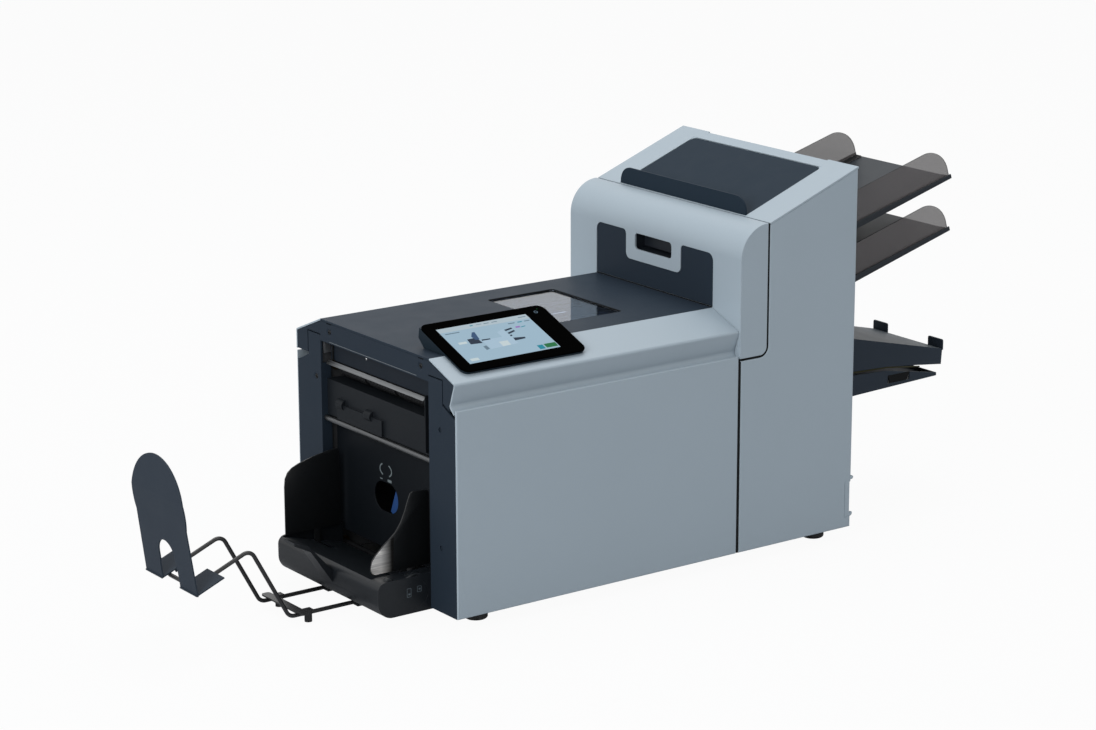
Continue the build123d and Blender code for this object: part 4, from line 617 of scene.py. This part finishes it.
# Touch screen on the ledge: a dark wedge housing and a sheet of black glass bonded on it. The
# picture, a plain coloured drawing of a machine with keys, lies just under the glass face.
housing_navy = grained("housing_navy", (0.010, 0.018, 0.026), 0.45, size=900.0, depth=0.08, sheen=0.1)
keep(rounded_copy("tablet_housing", "screen_housing", 0.8, 3), "top_unit", housing_navy,
     ["tablet_housing"])
glass_black = grained("glass_black", (0.0002, 0.0002, 0.0002), 0.12, size=60.0, depth=0.0, drift=0.3, handling=0.05,
                      sheen=0.002)
keep(rounded_copy("tablet_glass", "screen_glass_sheet", 0.35, 2), "top_unit", glass_black,
     ["tablet_glass"])
slope = atan2(24.0, 64.0)
across, upward, outward = Vector((1, 0, 0)), Vector((0, cos(slope), sin(slope))), Vector((0, -sin(slope), cos(slope)))
glass_corner = at(31.0, -190.0, 384.0 - 46.0 * tan(slope)) + outward * 0.0066


def on_glass(u, v, w=0.0):
    """Point from millimetres along, up and out from the near left corner of the glass."""
    return glass_corner + across * (u / 1000) + upward * (v / 1000) + outward * (w / 1000)


def lit(name, colour):
    """Screen colour: it glows a little unevenly, as a backlight does."""
    material = grained(name, tuple(c * 0.1 for c in colour), 0.2, size=60.0, depth=0.0, drift=0.05, sheen=0.05)
    tree = material.node_tree
    surface = tree.nodes["Principled BSDF"]
    cover = add_node(tree, "ShaderNodeGroup", {"Colour": (*colour, 1.0), "Drift": 0.10}, group=grain)
    wire(tree, (cover.outputs["Colour"], surface.inputs["Emission Color"]))
    set_inputs(surface, {"Emission Strength": 1.0})
    return material


tones = {tone: lit("screen_" + tone, colour) for tone, colour in (
    ("pale", (0.28, 0.40, 0.49)), ("head", (0.36, 0.44, 0.49)), ("teal", (0.01, 0.20, 0.27)),
    ("green", (0.01, 0.13, 0.04)), ("machine", (0.32, 0.44, 0.54)), ("dark", (0.012, 0.024, 0.045)),
    ("white", (0.46, 0.54, 0.56)), ("purple", (0.26, 0.14, 0.40)), ("grey", (0.11, 0.17, 0.22)),
    ("blue", (0.03, 0.07, 0.15)))}
picture = [
    ("pale", 0, [(12.5, 102), (166.5, 102.5), (168.5, 14), (13, 12.5)]),
    ("head", 1, [(12.5, 102), (166.5, 102.5), (167, 91.5), (13, 92)]),
    ("grey", 1, rect(19, 88.5, 43, 86.5)),
    ("teal", 2, rect(67, 98.5, 72, 96.5)),
    ("grey", 2, rect(77.5, 98, 87, 97)),
    ("grey", 2, rect(90.5, 98, 99.5, 96.5)),
    ("grey", 2, rect(104, 98, 113.5, 96.5)),
    ("grey", 2, rect(150, 98, 163, 96.5)),
    ("grey", 1, rect(126, 88, 137.5, 86)),
    ("teal", 1, rect(142.5, 88, 150, 86)),
    ("grey", 1, rect(154, 88, 163, 86)),
    ("machine", 1, [(64, 60), (98.5, 60), (97.5, 72.5), (110, 77), (113, 39.5), (64.5, 37)]),
    ("dark", 1, [(43.5, 68), (59.5, 68.5), (61.5, 54), (42, 55.5)]),
    ("blue", 2, [(60.5, 82), (65, 82), (62, 63.5), (55.5, 63.5), (53.5, 72.5)]),
    ("dark", 2, [(64, 62), (78, 61.5), (78, 59), (63.5, 59)]),
    ("dark", 2, [(111.5, 75), (125, 77.5), (125.5, 74.5), (112, 71.5)]),
    ("dark", 2, [(112, 67), (125.5, 71), (125.5, 67.5), (112.5, 63.5)]),
    ("dark", 2, [(112, 61), (115.5, 61.5), (115, 58.5), (111.5, 57.5)]),
    ("dark", 2, [(113, 53.5), (131.5, 51), (130.5, 47.5), (112, 46.5)]),
    ("grey", 2, [(57, 46), (62.5, 47), (63.5, 38.5), (57, 36.5)]),
    ("white", 2, [(86, 50), (100.5, 50), (100, 39), (86, 38.5)]),
    ("purple", 2, [(132.5, 78), (140.5, 78), (139, 74.5), (131.5, 74.5)]),
    ("teal", 2, [(140.5, 75.5), (148.5, 76.5), (148.5, 75), (140.5, 74)]),
    ("teal", 2, rect(135.5, 26.5, 145, 16.5)),
    ("green", 2, rect(147.5, 27, 167, 17.5)),
    ("white", 2, rect(25.5, 64, 39, 59)),
    ("white", 2, rect(19.5, 23.5, 33, 17.5)),
]
mark_depth, mark_rise, layer_rise = -0.3, 0.00032, 0.00005
shapes = [painted(prism("mark", [on_glass(u, v, mark_depth) for u, v in loop],
                        outward * (mark_rise + layer_rise * layer)), tones[tone]) for tone, layer, loop in picture]
for u, v, outer, inner, tone in ((185.5, 103.5, 3.0, 2.2, "grey"), (191.5, 110.0, 0.7, 0.1, "green")):
    loops = [[(u + r * cos(radians(a)), v + r * sin(radians(a))) for a in range(0, 360, 15)] for r in (outer, inner)]
    shapes.append(painted(ring_strip("ring", *loops, lambda p, q, w: on_glass(p, q, 0.05 * w - 0.01)), tones[tone]))
keep(joined("screen_picture", shapes), "top_unit")

# Flap panel on the roof of the tower, a dark moulding with an upturned lip to lift it by. Two
# pale fills round the far corners of its opening; they are fixed to the flap and swing with it.
flap_navy = grained("flap_navy", (0.0165, 0.027, 0.040), 0.55, size=1000.0, depth=0.08, drift=0.08, sheen=0.05)
roof_start, roof_start_z, roof_rise, opening_end = 557.4, 516.86, 0.3756, 704.2
flap_near, flap_far, side_gap, fill_radius, fill_height = -151.0, 156.0, 0.7, 13.2, 0.0012
roof_dir = Vector((1, 0, roof_rise)).normalized()
fills = []
for y_edge, side in ((flap_near, 1), (flap_far, -1)):
    edge = at(opening_end, y_edge - side * side_gap, roof_start_z + (opening_end - roof_start) * roof_rise)
    loop = [edge]
    for a in range(0, 91, 10):
        back = fill_radius * (cos(radians(a)) - 1)
        inward = side * fill_radius * (1 - sin(radians(a)))
        loop.append(edge + roof_dir * (back / 1000) + Vector((0, inward / 1000, 0)))
    fills.append(prism("fill", loop, Vector((roof_dir.z, 0, -roof_dir.x)) * fill_height))
keep(joined("flap_corners", fills), "flap", cover_grey)
keep(rounded_copy("flap_panel", "roof_flap", 0.8, 3), "flap", flap_navy, ["flap_panel"])

# Two sheet trays hooked in the feeder end, black plastic with a low rim, and two pairs of smoked
# clear side guides with dark edges that slide on them.
tray_black = grained("tray_black", (0.015, 0.020, 0.026), 0.45, size=900.0, depth=0.12, drift=0.12, sheen=0.25)
keep(rounded_copy("sheet_trays", "tray_plates", 0.7, 2), "casing", tray_black, ["sheet_trays"])
smoked = grained("smoked_clear", (0.150, 0.138, 0.138), 0.2, size=60.0, depth=0.0, drift=0.15, alpha=0.62, sheen=0.3)
smoked_edge = grained("smoked_edge", (0.010, 0.011, 0.012), 0.5, size=60.0, depth=0.0, drift=0.15, alpha=0.95,
                      sheen=0.08)
for node in ("upper_guide_front", "upper_guide_rear", "lower_guide_front", "lower_guide_rear"):
    sheet = keep(rounded_copy(node, node + "_sheet", 0.4, 2), node, smoked, [node])
    sheet.data.materials.append(smoked_edge)
    for face in sheet.data.polygons:
        if abs(face.normal.y) < 0.5:
            face.material_index = 1

# Insert tray that slopes down from the tower: a top face painted paler as painted light and deep dark skirts with an
# olive strip under them. Below it hangs a hinged dark cover with a small latch on its front side.
insert_top_painted_light = grained("insert_top_painted_light", (0.070, 0.082, 0.092), 0.5, size=700.0, depth=0.12, drift=0.15, sheen=0.2)
insert_navy = grained("insert_navy", (0.028, 0.038, 0.052), 0.5, size=900.0, depth=0.08, drift=0.1, sheen=0.1)
tray = rounded_copy("insert_tray", "insert_plate", 0.8, 3)
keep(tray, "casing", insert_navy, ["insert_tray"])
# Painted light: the faces turned upwards get a paler colour than the skirts, as where light falls on the top.
tray.data.materials.append(insert_top_painted_light)
for face in tray.data.polygons:
    if face.normal.z > 0.8:
        face.material_index = 1
keep(rounded_copy("insert_cover", "insert_hood", 0.7, 2), "insert_cover", insert_navy,
     ["insert_cover"])
olive = grained("olive_strip", (0.045, 0.044, 0.018), 0.5, size=700.0, depth=0.1, sheen=0.2)
strip_line = [(736, 217.6), (736, 220.6), (915, 213.6), (984, 204.4), (984, 202.6), (915, 211.4)]
keep(prism("insert_side_strip", side_on(-76.0, strip_line), (0, 0.0015, 0)), "casing", olive)
keep(rounded_copy("insert_latch", "insert_catch", 0.5, 2), "insert_latch", seal_black,
     ["insert_latch"])

# Envelope output: a satin guide bar, a ribbed black exit roller, a dark chute plate with two
# small wheels, and the near black back wall of the hopper with a pale icon. The blue separation
# lever stands behind the opening of the wall.
roller_rubber = grained("roller_rubber", (0.0075, 0.008, 0.009), 0.5, size=900.0, depth=0.25, sheen=0.2)
lines = bpy.data.node_groups.new("drawn_lines", "ShaderNodeTree")
socket(lines, "Stretch", "NodeSocketVector", "INPUT", (900.0, 4.0, 900.0))
socket(lines, "Colour", "NodeSocketColor", "INPUT", (0.5, 0.5, 0.5, 1.0))
socket(lines, "Roughness", "NodeSocketFloat", "INPUT", 0.4)
socket(lines, "Colour", "NodeSocketColor", "OUTPUT")
socket(lines, "Roughness", "NodeSocketFloat", "OUTPUT")
socket(lines, "Height", "NodeSocketFloat", "OUTPUT")
given = add_node(lines, "NodeGroupInput")
result = add_node(lines, "NodeGroupOutput")
where = add_node(lines, "ShaderNodeTexCoord")
pulled = add_node(lines, "ShaderNodeVectorMath", operation="MULTIPLY")
streak = add_node(lines, "ShaderNodeTexNoise", {"Scale": 1.0, "Detail": 3.0})
tone = add_node(lines, "ShaderNodeMath", {1: 1.5, 2: 0.25}, "MULTIPLY_ADD")
shaded = add_node(lines, "ShaderNodeVectorMath", operation="SCALE")
worn = add_node(lines, "ShaderNodeMath", operation="MULTIPLY")
wire(lines, (where.outputs["Object"], pulled.inputs[0]), (given.outputs["Stretch"], pulled.inputs[1]),
     (pulled.outputs[0], streak.inputs["Vector"]), (streak.outputs["Fac"], tone.inputs[0]),
     (given.outputs["Colour"], shaded.inputs[0]), (tone.outputs[0], shaded.inputs["Scale"]),
     (shaded.outputs[0], result.inputs["Colour"]),
     (tone.outputs[0], worn.inputs[0]), (given.outputs["Roughness"], worn.inputs[1]),
     (worn.outputs[0], result.inputs["Roughness"]),
     (streak.outputs["Fac"], result.inputs["Height"]))


def drawn(name, colour, roughness, stretch, depth=0.15):
    """Metal with fine lines; stretch is small along the lines and large across them."""
    material, tree, surface = blank(name)
    covered(tree, surface, lines, {"Stretch": stretch, "Colour": (*colour, 1.0), "Roughness": roughness}, depth,
            0.0003)
    set_inputs(surface, {"Metallic": 1.0})
    return material


satin_bar = drawn("satin_bar", (0.25, 0.26, 0.27), 0.4, (1000.0, 5.0, 1000.0))
bar_section = [(8.2, 315.4), (9.0, 314.4), (14.0, 318.8), (13.2, 320.4)]
keep(prism("guide_bar", side_on(-115.0, bar_section), (0, 0.2567, 0), 0.35), "casing", satin_bar,
     ["exit_guide_bar"])
dress("exit_roller", roller_rubber)
chute_dark = grained("chute_dark", (0.0075, 0.0095, 0.012), 0.5, size=500.0, depth=0.1, drift=0.12, sheen=0.12)
keep(rounded_copy("exit_chute", "chute_plate", 0.5, 2), "casing", chute_dark, ["exit_chute"])
wall_black = grained("wall_black", (0.0045, 0.006, 0.008), 0.5, size=900.0, depth=0.12, sheen=0.08)
keep(rounded_copy("bay_back_wall", "back_wall_plate", 0.5, 2), "casing", wall_black,
     ["bay_back_wall"])
icon_pale = grained("icon_pale", (0.13, 0.16, 0.17), 0.5, size=900.0, depth=0.05)
icon_x, icon_y, icon_z, icon_push = 24.97, 10.3, 181.0, (0.0002, 0, 0)
icon_wide, icon_high, arc_steps = 16.5, 10.5, 12
icon = []
for start, end in ((-55, 60), (125, 240)):
    turns = [radians(start + (end - start) * i / arc_steps) for i in range(arc_steps + 1)]
    arc = [(icon_y - icon_wide * cos(a), icon_z + icon_high * sin(a)) for a in turns]
    inner = [(icon_y + (y - icon_y) * 0.86, icon_z + (z - icon_z) * 0.80) for y, z in arc]
    icon += [prism("icon", end_on(icon_x, loop), icon_push) for loop in zip(arc, arc[1:], inner[1:], inner)]
for y, z, wide, high in ((22.5, 165.8, 3.4, 0.8), (0.5, 166.4, 5.0, 2.0)):
    icon.append(prism("icon", end_on(icon_x, rect(y - wide, z - high, y + wide, z + high)), icon_push))
keep(joined("wall_icon", icon), "casing", icon_pale)
lever_blue = grained("lever_blue", (0.012, 0.050, 0.17), 0.4, size=900.0, depth=0.08, sheen=0.3)
keep(rounded_copy("separation_lever", "blue_lever", 0.5, 2), "separation_lever", lever_blue,
     ["separation_lever"])

# Envelope hopper: a satin black base with support arms, a thumb roller and two outlined catches
# on its near cheek, two dark side guides that run on a threaded spindle, and the hand wheel that
# turns it. The near guide has a painted reflection at its lower corner: bright metal that fades to dark.
satin_black = grained("satin_black", (0.0065, 0.0085, 0.011), 0.36, size=900.0, depth=0.1, drift=0.12, sheen=0.35)
keep(rounded_copy("hopper_base", "base_moulding", 0.9, 3), "casing", satin_black, ["hopper_base"])
cheek_y = -142.0
wheel = at(-25.6, cheek_y, 46.0)
rim = [(a, 30.2) for a in range(35, 151, 5)] + [(a, 27.0) for a in range(150, 34, -5)]
rim_line = [wheel + Vector((r * cos(radians(a)), 0.05, r * sin(radians(a)))) / 1000 for a, r in rim]
trims = [turned("trim", wheel, (0, 1, 0), [(0.05, 20.3), (0.05, 20.31), (1.0, 20.3)], 40),
         prism("trim", rim_line, (0, 0.005, 0), 0.4),
         turned("trim", at(-67.0, -139.0, 70.0), (0, 1, 0), [(0, 5.0), (0.8, 6.2), (8.0, 6.2), (8.8, 5.0)], 24)]
for part in trims:
    painted(part, satin_black)
catch_grey = grained("catch_grey", (0.075, 0.095, 0.110), 0.4, size=900.0, depth=0.05)
for x0, z0, x1, z1 in ((-40.4, 42.7, -33.0, 56.0), (-23.2, 47.6, -15.8, 56.6)):
    loops = [rounded_loop(x0, z0, x1, z1, 1.0, inset) for inset in (0.0, 0.8)]
    band = ring_strip("trim", *loops, lambda u, v, w: at(u, cheek_y + 0.1 * w, v))
    bar = prism("trim", side_on(cheek_y, rect(x0 + 2.4, z0 + 3.2, x1 - 1.6, z0 + 5.6)), (0, 0.0001, 0))
    trims += [painted(band, catch_grey), painted(bar, catch_grey)]
keep(joined("base_trim", trims), "casing")
guide_steel = grained("guide_steel", (0.0075, 0.0085, 0.0095), 0.33, size=300.0, depth=0.05, drift=0.3, sheen=0.4)
hub_top = rect(-120, 74.2, 60, 230)
blades = {
    "hopper_guide_front": (-111.0, [(19, 74), (19, 180), (16.5, 183.4), (-8, 185.2), (-12.6, 182.5), (-17, 172),
                                    (-22, 158), (-29, 143), (-38, 130.5), (-48.5, 121.8), (-60, 113.5),
                                    (-70, 104.5), (-77, 96.5), (-79.6, 89), (-80.2, 82), (-78, 76.8), (-73, 74)]),
    "hopper_guide_rear": (121.0, [(15.4, 74), (15.4, 186.5), (12.5, 190.2), (-4, 189.2), (-30, 184.6), (-54, 178.4),
                                  (-66, 173.4), (-73.5, 167.2), (-78, 158.5), (-79.3, 146), (-79.3, 74)]),
}
for node, (y, loop) in blades.items():
    hub = rounded_copy(node, "hub", 0.5, 2, cutters=[prism("cut", side_on(-200, hub_top), (0, 0.4, 0))])
    blade = prism("blade", side_on(y, loop), (0, 0.002, 0), 0.35)
    for part in (hub, blade):
        part.data.materials.clear()
        painted(part, guide_steel)
    keep(joined(node + "_plate", [hub, blade]), node, None, [node])
# Painted reflection on the near guide: a bright metal patch whose colour fades to dark along the guide, in place of the
# light it reflects.
painted_glint_steel = drawn("painted_glint_steel", (0.80, 0.78, 0.75), 0.42, (14.0, 900.0, 500.0), depth=0.05)
tree = painted_glint_steel.node_tree
surface = tree.nodes["Principled BSDF"]
where = add_node(tree, "ShaderNodeTexCoord")
apart = add_node(tree, "ShaderNodeSeparateXYZ")
fade = add_node(tree, "ShaderNodeMapRange", {"From Min": at(-63, 0, 0).x, "From Max": at(-45, 0, 0).x, "To Min": 1.0,
                                             "To Max": 0.03})
dim = add_node(tree, "ShaderNodeVectorMath", operation="SCALE")
wire(tree, (where.outputs["Object"], apart.inputs[0]), (apart.outputs["X"], fade.inputs["Value"]),
     (surface.inputs["Base Color"].links[0].from_socket, dim.inputs[0]), (fade.outputs["Result"], dim.inputs["Scale"]),
     (dim.outputs[0], surface.inputs["Base Color"]))
glint_line = [(-79.6, 88), (-79.8, 82), (-77.7, 77.2), (-73, 74.6), (-43, 74.6), (-42, 90), (-41, 124.5), (-48.5, 120.8),
             (-60, 112.6), (-70, 103.6), (-76.6, 95.8)]
keep(prism("guide_worn_corner", side_on(-111.0, glint_line), (0, -0.00005, 0)), "hopper_guide_front",
     painted_glint_steel)
dress("hopper_spindle", satin_black)

# Wire stacker under the hopper: black coated wire, a cross bar with two small feet, and a slate
# stop plate with an arched cut that slides along the wire.
wire_black = grained("wire_black", (0.010, 0.010, 0.011), 0.32, size=900.0, depth=0.08)
keep(rounded_copy("stacker_wire", "coated_wire", 0.0, 2, 40.0), "stacker", wire_black,
     ["stacker_wire"])
keep(rounded_copy("stacker_foot_bar", "cross_bar", 0.5, 2), "stacker", wire_black,
     ["stacker_foot_bar"])
slate = grained("slate", (0.023, 0.032, 0.045), 0.5, size=900.0, depth=0.08, drift=0.08, sheen=0.1)
arch_half, arch_spring, arch_foot = 22.4, 127.0, 100.0
arch = [(-arch_half, arch_foot), (arch_half, arch_foot)] + quarter(0.0, arch_spring, arch_half, 0, 180, 16)
arch_cut = prism("cut", end_on(-375, arch), (0.08, 0, 0))
keep(rounded_copy("stop_plate", "stop_blade", 0.7, 2, cutters=[arch_cut]), "stop_plate", slate,
     ["stop_plate"])

# Drive inside the casing: black motor, steel pulley and rubber belt, three rubber fold rollers
# with gears and the feed rollers of the trays and of the hopper.
motor_black = grained("motor_black", (0.02, 0.02, 0.022), 0.4, size=700.0, depth=0.1)
dress("drive_motor", motor_black)
dress("motor_pulley", bright_steel)
for node in ("drive_belt", "fold_roller_1", "fold_roller_2", "fold_roller_3", "upper_feed_roller",
             "lower_feed_roller", "insert_feed_roller", "envelope_feed_roller"):
    dress(node, roller_rubber)

# Power supply in a steel case, its black inlet in the rear cover of the tower and the rocker
# switch in the inlet.
dress("power_supply", zinc_steel)
keep(rounded_copy("power_inlet", "inlet_body", 0.4, 2), "casing", cup_black, ["power_inlet"])
keep(rounded_copy("power_switch", "rocker", 0.5, 2), "power_switch", cup_black, ["power_switch"])
